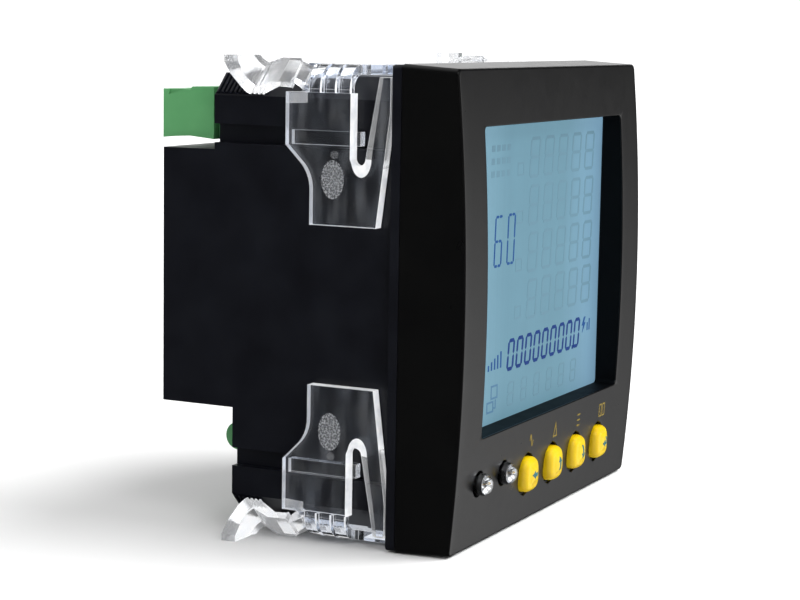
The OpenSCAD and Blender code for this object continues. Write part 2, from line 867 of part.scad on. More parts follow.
front_bezel();
lcd_front_polarizer();
lcd_front_glass();
lcd_rear_glass();
lcd_backlight();
lcd_frame();
lcd_pins();
display_board();
display_screws();
button_cap_1();
button_cap_2();
button_cap_3();
button_cap_4();
switch_plunger_1();
switch_plunger_2();
switch_plunger_3();
switch_plunger_4();
switch_bodies();
led_lens_left();
led_lens_right();
led_lead_frames();
led_spacers();
rear_case();
measure_board();
microcontroller();
metering_chip();
display_link_socket();
display_link_header();
power_board();
board_standoffs();
board_screws();
stack_header();
transformer_core();
transformer_winding();
bulk_capacitor();
output_capacitors();
current_transformer_1();
current_transformer_2();
current_transformer_3();
primary_bars();
current_terminal_block();
terminal_clamp_plates();
terminal_screws();
left_header();
right_header();
header_pins();
voltage_header();
left_plug_body();
left_plug_screws();
left_plug_clamps();
right_plug_body();
right_plug_screws();
right_plug_clamps();
clip_top();
clip_bottom();
lever_top_left();
lever_top_right();
lever_bottom_left();
lever_bottom_right();
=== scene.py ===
import math

import bmesh
import bpy
import numpy as np
from mathutils import Matrix, Vector, noise
from mathutils.bvhtree import BVHTree
from mathutils.geometry import delaunay_2d_cdt


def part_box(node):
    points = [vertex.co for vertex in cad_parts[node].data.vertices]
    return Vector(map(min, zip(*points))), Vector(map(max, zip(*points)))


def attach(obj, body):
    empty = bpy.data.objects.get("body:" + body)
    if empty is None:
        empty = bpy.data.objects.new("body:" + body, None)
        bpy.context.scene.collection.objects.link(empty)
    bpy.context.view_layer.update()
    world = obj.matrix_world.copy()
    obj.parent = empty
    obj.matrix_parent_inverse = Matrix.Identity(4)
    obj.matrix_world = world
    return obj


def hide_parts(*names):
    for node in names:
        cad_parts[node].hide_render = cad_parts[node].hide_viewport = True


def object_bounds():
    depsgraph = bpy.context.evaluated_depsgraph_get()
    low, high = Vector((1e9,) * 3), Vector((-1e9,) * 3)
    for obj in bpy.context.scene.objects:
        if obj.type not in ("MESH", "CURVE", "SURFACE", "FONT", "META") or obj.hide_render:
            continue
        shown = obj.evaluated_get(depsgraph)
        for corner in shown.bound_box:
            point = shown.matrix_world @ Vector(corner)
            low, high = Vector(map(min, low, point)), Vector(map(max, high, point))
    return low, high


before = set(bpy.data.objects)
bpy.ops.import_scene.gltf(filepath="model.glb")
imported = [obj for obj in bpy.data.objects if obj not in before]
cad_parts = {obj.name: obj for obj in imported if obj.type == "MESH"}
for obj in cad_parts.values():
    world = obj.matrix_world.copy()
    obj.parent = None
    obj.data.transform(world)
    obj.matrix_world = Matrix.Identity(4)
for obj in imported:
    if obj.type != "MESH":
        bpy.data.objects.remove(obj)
cad_low, cad_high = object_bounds()

MM = 0.001

# ---- Sizes ----

FRONT_HALF = 47.36 * MM
BULGE = 2.4 * MM
OUTER_CORNER_R = 1.2 * MM
OUTER_RIM_R = 0.5 * MM
WINDOW_W = 74.6 * MM
WINDOW_H = 61.4 * MM
WINDOW_Z = 5.3 * MM
WINDOW_CORNER_R = 1.0 * MM
WINDOW_RIM_R = 0.3 * MM
HOLE_RIM_R = 0.22 * MM
RIM_STEPS = 4
COLLAR_T = 1.6 * MM
COLLAR_BACK = -10.7 * MM
SKIN_BACK = -12 * MM
CAVITY_W = 91.6 * MM
CAVITY_H = 91.2 * MM
BOSS_AT = 42.6 * MM
BOSS_R = 2.1 * MM
BOSS_BORE_R = 0.9 * MM
BOSS_BACK = -4.6 * MM
SHEET_PITCH = 3 * MM

CAP_W = 7.1 * MM
CAP_H = 7.3 * MM
CAP_SINK = 0.25 * MM
CAP_GAP = 0.4 * MM
CAP_CORNER_R = 3.2 * MM
CAP_EDGE_R = 1.5 * MM
CAP_CROWN = 0.55 * MM
CAP_SIDES = 72
NOTCH_W = 4.4 * MM
NOTCH_H = 0.8 * MM
NOTCH_FLOOR = -14 * MM
LABEL_Z = -30.2 * MM
LABEL_SHIFTS = (1.2 * MM, 0.9 * MM, 0.9 * MM, 1.8 * MM)
LAMP_R = 2.3 * MM
LAMP_GAP = 0.3 * MM

FILM_FRONT = -10.6 * MM
EAR_IN = 45.55 * MM
EAR_LIT = 27.7 * MM
RIB_LONGER = 0.8 * MM
RIB_LOW = 30 * MM
RIB_HIGH = 36 * MM
EAR_TOP = 42 * MM
ARM_TOP = 45.3 * MM
ARM_SLANT = 0.18
SLOT_R = 1.36 * MM
SLOT_Z = 29.35 * MM
SLOT_REAR = 8.65 * MM
SLOT_FRONT = SLOT_REAR - 2 * SLOT_R
TAB_FRONT = 31.7 * MM
LEVER_ROUNDING = 0.9 * MM
NEAR = 0.05 * MM
CLIP_IOR = 1.585
BACKLIGHT = 2.0

# Two edges meet at a corner, and get rounded, where their faces turn by more than this many degrees.
EDGE_ANGLE = 28
FLAT_ANGLE = 0.6

# Faces with many holes in them, which don't stay whole when their triangles are joined into one.
MANY_HOLED = ("current_terminal_block", "bulk_capacitor", "left_plug_body", "right_plug_body")

# Heading is from +Y towards +X; then pitch and roll.
CAMERA_AT = (-0.40342, -0.17877, 0.05512)
CAMERA_TURN = (63.62, -7.554, 0.986)
CAMERA_LENS = 92.92

# Each soft box: its direction, the cosine off it where it fades out, and its strength.
ROOM_LIGHT = 0.04
SOFT_BOXES = [((0.89, 0.45, 0.1), 0.85, 1.2), ((0.58, -0.76, -0.32), 0.79, 1.55), ((0.1, 0.6, 0.8), 0.7, 0.6),
              ((0.2, 0.93, 0.15), 0.85, 0.7), ((-0.5, -0.6, 0.62), 0.965, 5.0)]
BACKDROP = (0.888, 0.44, -0.131)
BACKDROP_EDGE = -0.45
BACKDROP_FULL = 0.9
SUN_POWER = 3.6
SUN_ANGLE = 50
SUN_FROM = (0.35, -0.6, 0.75)
FILL_POWER = 1.7
FILL_ANGLE = 160
FILL_FROM = (-0.1, -0.2, 1)

SEGMENT_LIFT = 0.05 * MM
SEGMENTS_OF = {"0": "abcdef", "6": "acdefg", "8": "abcdefg"}
INK_LIFT = 0.03 * MM
INK_DEPTH = 0.05 * MM

# ---- Colours and shader nodes ----


def colour(red, green, blue):
    """Linear colour of an 8-bit display colour."""
    levels = [c / 255 for c in (red, green, blue)]
    return tuple(((c + 0.055) / 1.055) ** 2.4 if c > 0.04 else c / 12.92 for c in levels) + (1.0,)


def grey(value):
    return (value, value, value, 1.0)


def maths(tree, operation, first, second=0.0):
    """One Math node; each input is a socket or a number."""
    node = tree.nodes.new("ShaderNodeMath")
    node.operation = operation
    for socket, value in zip(node.inputs, (first, second)):
        if isinstance(value, bpy.types.NodeSocket):
            tree.links.new(value, socket)
        else:
            socket.default_value = value
    return node.outputs["Value"]


def map_range(tree, value, low, high, new_low=0.0, new_high=1.0):
    node = tree.nodes.new("ShaderNodeMapRange")
    for name, number in (("From Min", low), ("From Max", high), ("To Min", new_low), ("To Max", new_high)):
        node.inputs[name].default_value = number
    tree.links.new(value, node.inputs["Value"])
    return node


BASE = "Base Color"
ROUGH = "Roughness"
CLEAR = "Transmission Weight"
SPECULAR = "Specular IOR Level"


class Finish:
    """A Principled material and the nodes that feed it."""

    def __init__(self, name):
        self.material = bpy.data.materials.new(name)
        self.material.use_nodes = True
        self.tree = self.material.node_tree
        self.tree.nodes.clear()
        output = self.tree.nodes.new("ShaderNodeOutputMaterial")
        self.shader = self.tree.nodes.new("ShaderNodeBsdfPrincipled")
        self.tree.links.new(self.shader.outputs["BSDF"], output.inputs["Surface"])

    def give(self, name, value):
        """Links a socket to one of the shader's inputs, or sets the input to a number."""
        if isinstance(value, bpy.types.NodeSocket):
            self.tree.links.new(value, self.shader.inputs[name])
        else:
            self.shader.inputs[name].default_value = value

    def glow(self, tone, strength):
        self.give("Emission Color", tone)
        self.give("Emission Strength", strength)

    def place(self, stretch=(1, 1, 1), turn=(0, 0, 0)):
        """Coordinates in the frame, in metres, stretched along each axis."""
        coords = self.tree.nodes.new("ShaderNodeTexCoord")
        mapping = self.tree.nodes.new("ShaderNodeMapping")
        mapping.inputs["Scale"].default_value = stretch
        mapping.inputs["Rotation"].default_value = turn
        self.tree.links.new(coords.outputs["Object"], mapping.inputs["Vector"])
        return mapping.outputs["Vector"]

    def texture(self, kind, size, place, **values):
        """A procedural texture whose features are about size across."""
        node = self.tree.nodes.new(kind)
        node.inputs["Scale"].default_value = 1 / size
        for name, value in values.items():
            node.inputs[name.replace("_", " ")].default_value = value
        self.tree.links.new(place, node.inputs["Vector"])
        return node.outputs

    def noise(self, size, detail=3.0, stretch=(1, 1, 1)):
        return self.texture("ShaderNodeTexNoise", size, self.place(stretch), Detail=detail)["Fac"]

    def axis(self, name):
        """One coordinate of the frame, in metres."""
        split = self.tree.nodes.new("ShaderNodeSeparateXYZ")
        self.tree.links.new(self.place(), split.inputs["Vector"])
        return split.outputs[name]

    def ramp(self, factor, *stops):
        """Colour ramp; stops are (position, colour)."""
        node = self.tree.nodes.new("ShaderNodeValToRGB")
        elements = node.color_ramp.elements
        while len(elements) < len(stops):
            elements.new(0.5)
        for element, (position, value) in zip(elements, stops):
            element.position = position
            element.color = value
        self.tree.links.new(factor, node.inputs["Fac"])
        return node.outputs["Color"]

    def spread(self, value, low, high, new_low=0.0, new_high=1.0):
        return map_range(self.tree, value, low, high, new_low, new_high).outputs["Result"]

    def bump(self, height, distance, strength=1.0):
        node = self.tree.nodes.new("ShaderNodeBump")
        node.inputs["Strength"].default_value = strength
        node.inputs["Distance"].default_value = distance
        self.tree.links.new(height, node.inputs["Height"])
        self.give("Normal", node.outputs["Normal"])


def moulded(name, base, shade, rough, rough_spread, grain=0.25 * MM, grain_depth=0.006 * MM, specular=0.5):
    """Moulded plastic: fine die texture, slow colour drift and uneven gloss."""
    look = Finish(name)
    look.give(BASE, look.ramp(look.noise(9 * MM, 4), (0.3, shade), (0.7, base)))
    look.give(ROUGH, look.spread(look.noise(4 * MM, 3), 0.15, 0.85, rough - rough_spread, rough + rough_spread))
    look.give(SPECULAR, specular)
    look.bump(look.noise(grain, 2), grain_depth)
    return look.material


def metal(name, base, tarnish, rough, brushing=(1, 1, 1)):
    """Plated metal with fine drawing marks and duller patches."""
    look = Finish(name)
    look.give("Metallic", 1.0)
    patches = look.noise(3 * MM, 4)
    look.give(BASE, look.ramp(patches, (0.35, tarnish), (0.65, base)))
    look.give(ROUGH, look.spread(patches, 0.3, 0.7, rough + 0.1, rough - 0.04))
    look.bump(look.noise(0.12 * MM, 2, brushing), 0.003 * MM)
    return look.material


# ---- Materials ----


def bezel_plastic():
    return moulded("bezel_black", colour(9, 9, 9), colour(6, 6, 7), 0.3, 0.04, 0.3 * MM, 0.002 * MM)


def recess_painted_shade_plastic():
    """The bezel's plastic on the walls round the window, given a darker colour and duller gloss than the front:
    painted shade that keeps the display's glow off the walls.
    """
    return moulded("recess_painted_shade", colour(6, 6, 7), colour(4, 4, 5), 0.6, 0.05, 0.2 * MM, 0.004 * MM, 0.12)


def case_plastic():
    return moulded("case_black", colour(20, 22, 29), colour(13, 14, 21), 0.36, 0.07, 0.4 * MM, 0.004 * MM, 0.3)


def terminal_plastic():
    return moulded("terminal_black", colour(26, 26, 28), colour(18, 18, 20), 0.42, 0.08, specular=0.4)


def connector_plastic():
    return moulded("connector_green", colour(92, 160, 103), colour(80, 148, 92), 0.38, 0.07, 0.3 * MM, 0.004 * MM)


def cap_rubber():
    look = Finish("button_yellow")
    look.give(BASE, look.ramp(look.noise(5 * MM, 3), (0.3, colour(212, 176, 3)), (0.7, colour(224, 191, 6))))
    look.give(ROUGH, look.spread(look.noise(1.5 * MM, 4), 0.3, 0.7, 0.34, 0.46))
    look.give("Subsurface Weight", 0.12)
    look.give("Subsurface Radius", (1.0, 0.6, 0.1))
    look.give("Subsurface Scale", 0.8 * MM)
    look.bump(look.noise(0.14 * MM, 2), 0.004 * MM)
    return look.material


def clear_plastic():
    """Clear moulded plastic with flow lines, faint haze and handling scratches."""
    look = Finish("clip_clear")
    look.give(BASE, look.ramp(look.noise(6 * MM, 5), (0.35, colour(226, 234, 248)),
                                      (0.65, colour(246, 249, 255))))
    flow = look.noise(3 * MM, 3, (1, 1, 0.22))
    look.give(CLEAR, look.spread(flow, 0.45, 0.75, 0.99, 0.9))
    look.give("IOR", CLIP_IOR)
    scratches = look.noise(0.5 * MM, 3, (1, 0.08, 1))
    look.give(ROUGH, look.spread(scratches, 0.45, 0.75, 0.02, 0.1))
    look.bump(look.noise(5 * MM, 0), 0.04 * MM, 0.5)
    return look.material


def painted_glow_plastic(name, clear_low, clear_high, glow):
    """Narrow parts of the clear plastic, whiter and given a painted glow: the emission stands in for the light the
    plastic pipes along the wall and the bright surroundings its edges reflect.
    """
    look = Finish(name)
    drift = look.noise(2.4 * MM)
    tone = look.ramp(drift, (0.3, colour(238, 241, 246)), (0.7, colour(255, 255, 255)))
    look.give(BASE, tone)
    # Painted glow: emission in the plastic's own tone, with no lamp behind it.
    look.glow(tone, glow)
    look.give(CLEAR, look.spread(drift, 0.3, 0.7, clear_high, clear_low))
    look.give("IOR", CLIP_IOR)
    look.give(ROUGH, look.spread(look.noise(0.8 * MM), 0.3, 0.7, 0.1, 0.25))
    look.bump(look.noise(0.9 * MM, 2), 0.01 * MM)
    return look.material


def frosted_plastic():
    """Spark-eroded patch on the clear plastic."""
    look = Finish("clip_frosted")
    sparkle = look.noise(0.4 * MM)
    look.give(BASE, look.ramp(sparkle, (0.36, colour(128, 130, 135)), (0.52, colour(166, 169, 174)),
                                      (0.7, colour(228, 229, 232))))
    look.give(CLEAR, 0.55)
    look.give("IOR", CLIP_IOR)
    look.give(ROUGH, look.spread(sparkle, 0.4, 0.65, 0.12, 0.5))
    look.bump(sparkle, 0.03 * MM)
    return look.material


def lamp_clear():
    look = Finish("lamp_clear")
    look.give(BASE, look.ramp(look.noise(2 * MM, 2), (0.3, grey(0.93)), (0.7, grey(1.0))))
    look.give(CLEAR, 1.0)
    look.give("IOR", 1.53)
    look.give(ROUGH, look.spread(look.noise(1 * MM), 0.4, 0.7, 0.01, 0.05))
    return look.material


def lcd_film():
    """Polarizer over the lit panel, brighter towards its sides and top: partly the backlight's own unevenness,
    partly painted light against the shade that the window walls cast on it.
    """
    look = Finish("lcd_film")
    across = look.spread(look.axis("X"), -WINDOW_W / 2, WINDOW_W / 2)
    # Lighter at both sides of the width: partly backlight, partly painted light against the shade of the side
    # walls.
    field = look.ramp(across, (0.0, colour(84, 110, 122)), (0.05, colour(72, 97, 109)), (0.3, colour(62, 87, 98)),
                      (0.7, colour(62, 87, 98)), (1.0, colour(72, 96, 112)))
    top = WINDOW_Z + WINDOW_H / 2
    # Painted light: the top strip is brightened against the shade of the upper window wall.
    height = look.spread(look.axis("Z"), top - 7 * MM, top, 1.0, 1.22)
    stripes = look.spread(look.noise(0.8 * MM, 2, (1, 1, 0.02)), 0.3, 0.7, 0.985, 1.01)
    mottling = look.spread(look.noise(14 * MM), 0.3, 0.7, 0.97, 1.03)
    level = maths(look.tree, "MULTIPLY", maths(look.tree, "MULTIPLY", height, stripes), mottling)
    tint = look.tree.nodes.new("ShaderNodeVectorMath")
    tint.operation = "SCALE"
    look.tree.links.new(field, tint.inputs[0])
    look.tree.links.new(level, tint.inputs["Scale"])
    look.give(BASE, tint.outputs["Vector"])
    look.glow(tint.outputs["Vector"], BACKLIGHT)
    look.give(ROUGH, 0.55)
    look.give(SPECULAR, 0.15)
    look.bump(look.noise(0.1 * MM, 2), 0.002 * MM)
    return look.material


def lcd_ink(name, base, shade):
    """Dark or faint liquid crystal: lit from behind like the film, a little uneven."""
    look = Finish(name)
    tone = look.ramp(look.noise(1.2 * MM), (0.3, shade), (0.7, base))
    look.give(BASE, tone)
    look.glow(tone, BACKLIGHT)
    look.give(ROUGH, 0.5)
    look.give(SPECULAR, 0.15)
    return look.material


def print_ink(name, base, shade):
    """Pad-printed ink, slightly porous."""
    look = Finish(name)
    look.give(BASE, look.ramp(look.noise(0.35 * MM, 4), (0.3, shade), (0.62, base)))
    look.give(ROUGH, 0.6)
    look.bump(look.noise(0.1 * MM, 2), 0.004 * MM)
    return look.material


def circuit_board():
    """Solder mask over tracks."""
    look = Finish("circuit_board")
    tracks = look.texture("ShaderNodeTexBrick", 9 * MM, look.place(turn=(math.pi / 2, 0, 0)), Mortar_Size=0.03,
                          Color1=colour(20, 92, 48), Color2=colour(24, 100, 54), Mortar=colour(60, 140, 84))
    look.give(BASE, tracks["Color"])
    look.give(ROUGH, 0.3)
    look.bump(tracks["Fac"], 0.03 * MM)
    return look.material


def chip_plastic():
    return moulded("chip_black", colour(30, 31, 33), colour(22, 23, 25), 0.55, 0.06, 0.1 * MM)


def ferrite():
    return moulded("ferrite", colour(62, 62, 66), colour(44, 44, 48), 0.5, 0.12, 0.2 * MM, 0.01 * MM)


def winding_tape():
    """Yellow polyester tape in overlapping turns."""
    look = Finish("tape_yellow")
    turns = look.texture("ShaderNodeTexWave", 6 * MM, look.place(), Distortion=0.6)["Fac"]
    look.give(BASE, look.ramp(turns, (0.0, colour(205, 150, 30)), (1.0, colour(226, 178, 60))))
    look.give(ROUGH, 0.25)
    look.bump(turns, 0.05 * MM)
    return look.material


def capacitor_sleeve():
    """Shrink sleeve with paler patches."""
    look = Finish("capacitor_sleeve")
    patch = look.spread(look.noise(5 * MM, 0), 0.55, 0.57)
    look.give(BASE, look.ramp(patch, (0.0, colour(38, 54, 104)), (1.0, colour(60, 78, 132))))
    look.give(ROUGH, 0.28)
    look.bump(look.noise(1.5 * MM, 2), 0.02 * MM)
    return look.material


def transformer_tape():
    return moulded("transformer_blue", colour(34, 46, 92), colour(26, 36, 74), 0.35, 0.08, 0.6 * MM, 0.02 * MM)


def light_guide():
    return moulded("light_guide", colour(238, 240, 242), colour(224, 227, 230), 0.3, 0.05)


def display_glass():
    return moulded("display_glass", colour(176, 202, 212), colour(160, 190, 200), 0.08, 0.03)


def plunger_plastic():
    return moulded("plunger_white", colour(224, 219, 206), colour(206, 200, 186), 0.45, 0.06)


def spacer_plastic():
    return moulded("spacer_black", colour(30, 30, 32), colour(22, 22, 24), 0.5, 0.06)


# ---- Outlines, seen from the front as (x, z), anticlockwise ----


def rounded_rect(width, height, radius, centre_z=0.0, step=2 * MM, arc=8):
    """Rounded rectangle with its straight sides cut into pieces no longer than step."""
    corners = []
    for k, (sx, sz) in enumerate([(1, 1), (-1, 1), (-1, -1), (1, -1)]):
        cx = sx * (width / 2 - radius)
        cz = sz * (height / 2 - radius)
        angles = [math.pi / 2 * (k + i / arc) for i in range(arc + 1)]
        corners.append([(cx + radius * math.cos(a), cz + radius * math.sin(a)) for a in angles])
    points = []
    for k, corner in enumerate(corners):
        points += corner
        start = Vector(corner[-1])
        end = Vector(corners[(k + 1) % 4][0])
        count = 2 * math.ceil((end - start).length / step / 2)
        points += [tuple(start.lerp(end, i / count)) for i in range(1, count)]
    return [(x, z + centre_z) for x, z in points]


def circle(radius, centre, sides=48):
    return [(centre[0] + radius * math.cos(2 * math.pi * i / sides),
             centre[1] + radius * math.sin(2 * math.pi * i / sides)) for i in range(sides)]


def moved(outline, dx, dz):
    return [(x + dx, z + dz) for x, z in outline]


def grown(outline, by):
    """The outline offset outwards by a distance, point for point."""
    count = len(outline)
    out = []
    for k in range(count):
        before = Vector(outline[k]) - Vector(outline[k - 1])
        after = Vector(outline[(k + 1) % count]) - Vector(outline[k])
        n1 = Vector((before.y, -before.x)).normalized()
        n2 = Vector((after.y, -after.x)).normalized()
        out.append(tuple(Vector(outline[k]) + (n1 + n2) * (by / (1 + n1.dot(n2)))))
    return out


def with_notches(outline, centre):
    """A button hole's outline with its pointed notches above and below."""
    base = CAP_H / 2 + 0.2 * MM
    out = []
    for x, z in outline:
        across = abs(x - centre[0])
        up = z - centre[1]
        if across < NOTCH_W / 2:
            reach = base + NOTCH_H * (1 - across / (NOTCH_W / 2))
            up = math.copysign(max(abs(up), reach), up)
        out.append((x, centre[1] + up))
    return out


def inside(points, outline):
    """Which of the points lie inside the outline."""
    points = np.array(points, float)
    x, z = points[:, 0], points[:, 1]
    hit = np.zeros(len(points), bool)
    previous = outline[-1]
    for corner in outline:
        (x0, z0), (x1, z1) = previous, corner
        if z0 != z1:
            crosses = (z0 > z) != (z1 > z)
            hit ^= crosses & (x < (x1 - x0) * (z - z0) / (z1 - z0) + x0)
        previous = corner
    return hit


# ---- Mesh building ----


class Shell:
    """Vertices and faces of a piece, built up from rings, strips and filled outlines."""

    def __init__(self):
        self.verts = []
        self.faces = []

    def ring(self, points):
        first = len(self.verts)
        self.verts += [tuple(p) for p in points]
        return list(range(first, len(self.verts)))

    def flat_ring(self, outline, depth):
        return self.ring([(x, depth, z) for x, z in outline])

    def strip(self, a, b):
        count = len(a)
        for k in range(count):
            n = (k + 1) % count
            self.faces.append((a[k], a[n], b[n], b[k]))

    def strips(self, rings):
        for a, b in zip(rings, rings[1:]):
            self.strip(a, b)

    def cap(self, ring):
        self.faces.append(tuple(ring))

    def fan(self, ring, point):
        centre = len(self.verts)
        self.verts.append(tuple(point))
        for k in range(len(ring)):
            self.faces.append((ring[k], ring[(k + 1) % len(ring)], centre))

    def fill(self, rings, depth, pitch=None):
        """Covers what is inside the first ring and outside the others, on the surface y = depth(z)."""
        loops = [[(self.verts[i][0], self.verts[i][2]) for i in ring] for ring in rings]
        known = [i for ring in rings for i in ring]
        points = [p for loop in loops for p in loop]
        edges = []
        first = 0
        for loop in loops:
            edges += [(first + k, first + (k + 1) % len(loop)) for k in range(len(loop))]
            first += len(loop)
        if pitch:
            points += self.grid(loops, pitch)
        made = delaunay_2d_cdt([Vector(p) for p in points], edges, [], 0, 1e-9)
        places, triangles, sources = made[0], made[2], made[3]
        index = []
        for p, source in zip(places, sources):
            if source and source[0] < len(known):
                index.append(known[source[0]])
            else:
                index.append(len(self.verts))
                self.verts.append((p.x, depth(p.y), p.y))
        centres = [sum((places[i] for i in t), Vector((0, 0))) / 3 for t in triangles]
        keep = inside(centres, loops[0])
        for loop in loops[1:]:
            keep &= ~inside(centres, loop)
        self.faces += [tuple(index[i] for i in t) for t, k in zip(triangles, keep) if k]

    def grid(self, loops, pitch):
        """Points of a square grid that are inside the first loop, outside the others and clear of all."""
        outer = np.array(loops[0])
        low, high = outer.min(0), outer.max(0)
        xs = np.arange(low[0] + pitch, high[0], pitch)
        zs = np.arange(low[1] + pitch, high[1], pitch)
        grid = np.array([(x, z) for x in xs for z in zs])
        keep = inside(grid, loops[0])
        for loop in loops[1:]:
            keep &= ~inside(grid, loop)
        rim = np.concatenate([np.array(loop) for loop in loops])
        gap = np.sqrt(((grid[:, None, :] - rim[None, :, :]) ** 2).sum(2)).min(1)
        return [tuple(p) for p in grid[keep & (gap > 0.4 * pitch)]]

    def build(self, name, material, body, smooth_angle=40):
        mesh = bpy.data.meshes.new(name)
        mesh.from_pydata(self.verts, [], self.faces)
        return finish_piece(mesh, material, body, smooth_angle)


def finish_piece(mesh, material, body, smooth_angle):
    """Cleans a mesh and makes it a piece that rides on a body and takes a slot's finish."""
    bm = bmesh.new()
    bm.from_mesh(mesh)
    bmesh.ops.remove_doubles(bm, verts=bm.verts, dist=1e-7)
    bmesh.ops.dissolve_degenerate(bm, edges=bm.edges, dist=1e-8)
    bmesh.ops.recalc_face_normals(bm, faces=bm.faces)
    bm.to_mesh(mesh)
    bm.free()
    mesh.shade_smooth()
    mesh.set_sharp_from_angle(angle=math.radians(smooth_angle))
    mesh.materials.append(material)
    piece = bpy.data.objects.new(mesh.name, mesh)
    bpy.context.scene.collection.objects.link(piece)
    weighted_normals(piece)
    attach(piece, body)
    return piece


def weighted_normals(piece):
    modifier = piece.modifiers.new("even_normals", "WEIGHTED_NORMAL")
    modifier.keep_sharp = True


def lathe(shell, profile, centre, sides):
    """Surface of revolution about a line along Y; profile is (radius, depth), ends closed by fans."""
    rings = [shell.flat_ring(circle(r, centre, sides), y) for r, y in profile if r > 0]
    shell.strips(rings)
    for ring, (radius, depth) in ((rings[0], profile[0]), (rings[-1], profile[-1])):
        if radius == 0:
            shell.fan(ring, (centre[0], depth, centre[1]))
        else:
            shell.cap(ring)


def prism(shell, outline, front, back):
    """Straight block with the given front view."""
    rings = [shell.flat_ring(outline, front), shell.flat_ring(outline, back)]
    shell.strips(rings)
    shell.cap(rings[0])
    shell.cap(rings[1])


def round_edges(node, width):
    """Rounds a CAD node's edges by modifiers, leaving its own mesh alone."""
    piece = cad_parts[node]
    weld = piece.modifiers.new("weld", "WELD")
    weld.merge_threshold = 1e-6
    if node not in MANY_HOLED:
        planar = piece.modifiers.new("planar", "DECIMATE")
        planar.decimate_type = "DISSOLVE"
        planar.angle_limit = math.radians(FLAT_ANGLE)
    bevel_edges(piece, width, 2)
    weighted_normals(piece)


def bevel_edges(piece, width, segments):
    bevel = piece.modifiers.new("edge_rounding", "BEVEL")
    bevel.width = width
    bevel.segments = segments
    bevel.limit_method = "ANGLE"
    bevel.angle_limit = math.radians(EDGE_ANGLE)
    bevel.use_clamp_overlap = True
    bevel.miter_outer = "MITER_ARC"
    return bevel


def paint(node, material):
    """Gives a CAD node one material."""
    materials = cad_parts[node].data.materials
    materials.clear()
    materials.append(material)


# ---- Flat marks, printed or switched on ----


def band(points, width, closed=False):
    """Quads along a line of points, mitred where it turns."""
    points = [Vector(p) for p in points]
    count = len(points)
    left, right = [], []
    for k in range(count):
        before = points[k] - points[k - 1] if k or closed else points[1] - points[0]
        after = points[(k + 1) % count] - points[k] if k < count - 1 or closed else before
        n1 = Vector((-before.y, before.x)).normalized()
        n2 = Vector((-after.y, after.x)).normalized()
        reach = (n1 + n2) * (width / 2 / (1 + n1.dot(n2)))
        left.append(points[k] + reach)
        right.append(points[k] - reach)
    last = count if closed else count - 1
    return [[left[k], right[k], right[(k + 1) % count], left[(k + 1) % count]] for k in range(last)]


def box_line(x0, z0, x1, z1, width):
    return band([(x0, z0), (x1, z0), (x1, z1), (x0, z1)], width, closed=True)


def shifted(shapes, dx, dz):
    return [moved(shape, dx, dz) for shape in shapes]


def in_metres(shapes):
    return [[(x * MM, z * MM) for x, z in shape] for shape in shapes]


def flat_mark(name, shapes, surface, material, body, lift, longest):
    """Thin solid marks that follow the surface y = surface(x, z)."""
    bm = bmesh.new()
    for shape in shapes:
        bm.faces.new([bm.verts.new((x, 0, z)) for x, z in shape])
    bmesh.ops.remove_doubles(bm, verts=bm.verts, dist=1e-6)
    bmesh.ops.triangulate(bm, faces=bm.faces)
    for _ in range(4):
        long_edges = [e for e in bm.edges if e.calc_length() > longest]
        if not long_edges:
            break
        bmesh.ops.subdivide_edges(bm, edges=long_edges, cuts=1)
        bmesh.ops.triangulate(bm, faces=bm.faces)
    for vert in bm.verts:
        vert.co.y = surface(vert.co.x, vert.co.z) - lift
    made = bmesh.ops.extrude_face_region(bm, geom=list(bm.faces), use_keep_orig=True)
    for item in made["geom"]:
        if isinstance(item, bmesh.types.BMVert):
            item.co.y += INK_DEPTH
    mesh = bpy.data.meshes.new(name)
    bm.to_mesh(mesh)
    bm.free()
    finish_piece(mesh, material, body, 60)


def digit(figure, x, z, width, height, stroke, slant, split=False, gap=0.12):
    """Seven-segment figure with its lower left corner at (x, z); slant leans its top to the right."""
    half = stroke / 2
    left, centre, right = half, width / 2, width - half
    low, mid, high = half, height / 2, height - half
    spans = [(left, centre), (centre, right)] if split else [(left, right)]
    rows = {"a": high, "g": mid, "d": low}
    columns = {"b": (right, mid, high), "c": (right, low, mid), "e": (left, low, mid), "f": (left, mid, high)}
    shapes = []
    for name in SEGMENTS_OF[figure]:
        lines = [(rows[name], *span) for span in spans] if name in rows else [columns[name]]
        for level, start, end in lines:
            a, b = start + gap, end - gap
            outline = [(a, 0), (a + half, -half), (b - half, -half), (b, 0), (b - half, half), (a + half, half)]
            shapes.append([(along, level + off) if name in rows else (level - off, along)
                           for along, off in outline])
    return [[(x + px + slant * pz / height, z + pz) for px, pz in shape] for shape in shapes]


# ---- Front ----

CURVE_R = (FRONT_HALF ** 2 + BULGE ** 2) / (2 * BULGE)
CROWN_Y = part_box("front_bezel")[0].y


def front_depth(z):
    """Depth of the bezel's curved front at a height."""
    return CROWN_Y + CURVE_R - math.sqrt(CURVE_R ** 2 - z * z)


def centre_of(node):
    low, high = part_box(node)
    return (low.x + high.x) / 2, (low.z + high.z) / 2


def rim(shell, outline, radius, side):
    """Rounded edge from the curved front to a wall; side is 1 round a hole and -1 on the outside."""
    rings = []
    for k in range(RIM_STEPS + 1):
        angle = math.pi / 2 * k / RIM_STEPS
        points = grown(outline, side * radius * (1 - math.sin(angle)))
        sink = radius * (1 - math.cos(angle))
        rings.append(shell.ring([(x, front_depth(z) + sink, z) for x, z in points]))
    shell.strips(rings)
    return rings[0], rings[-1]


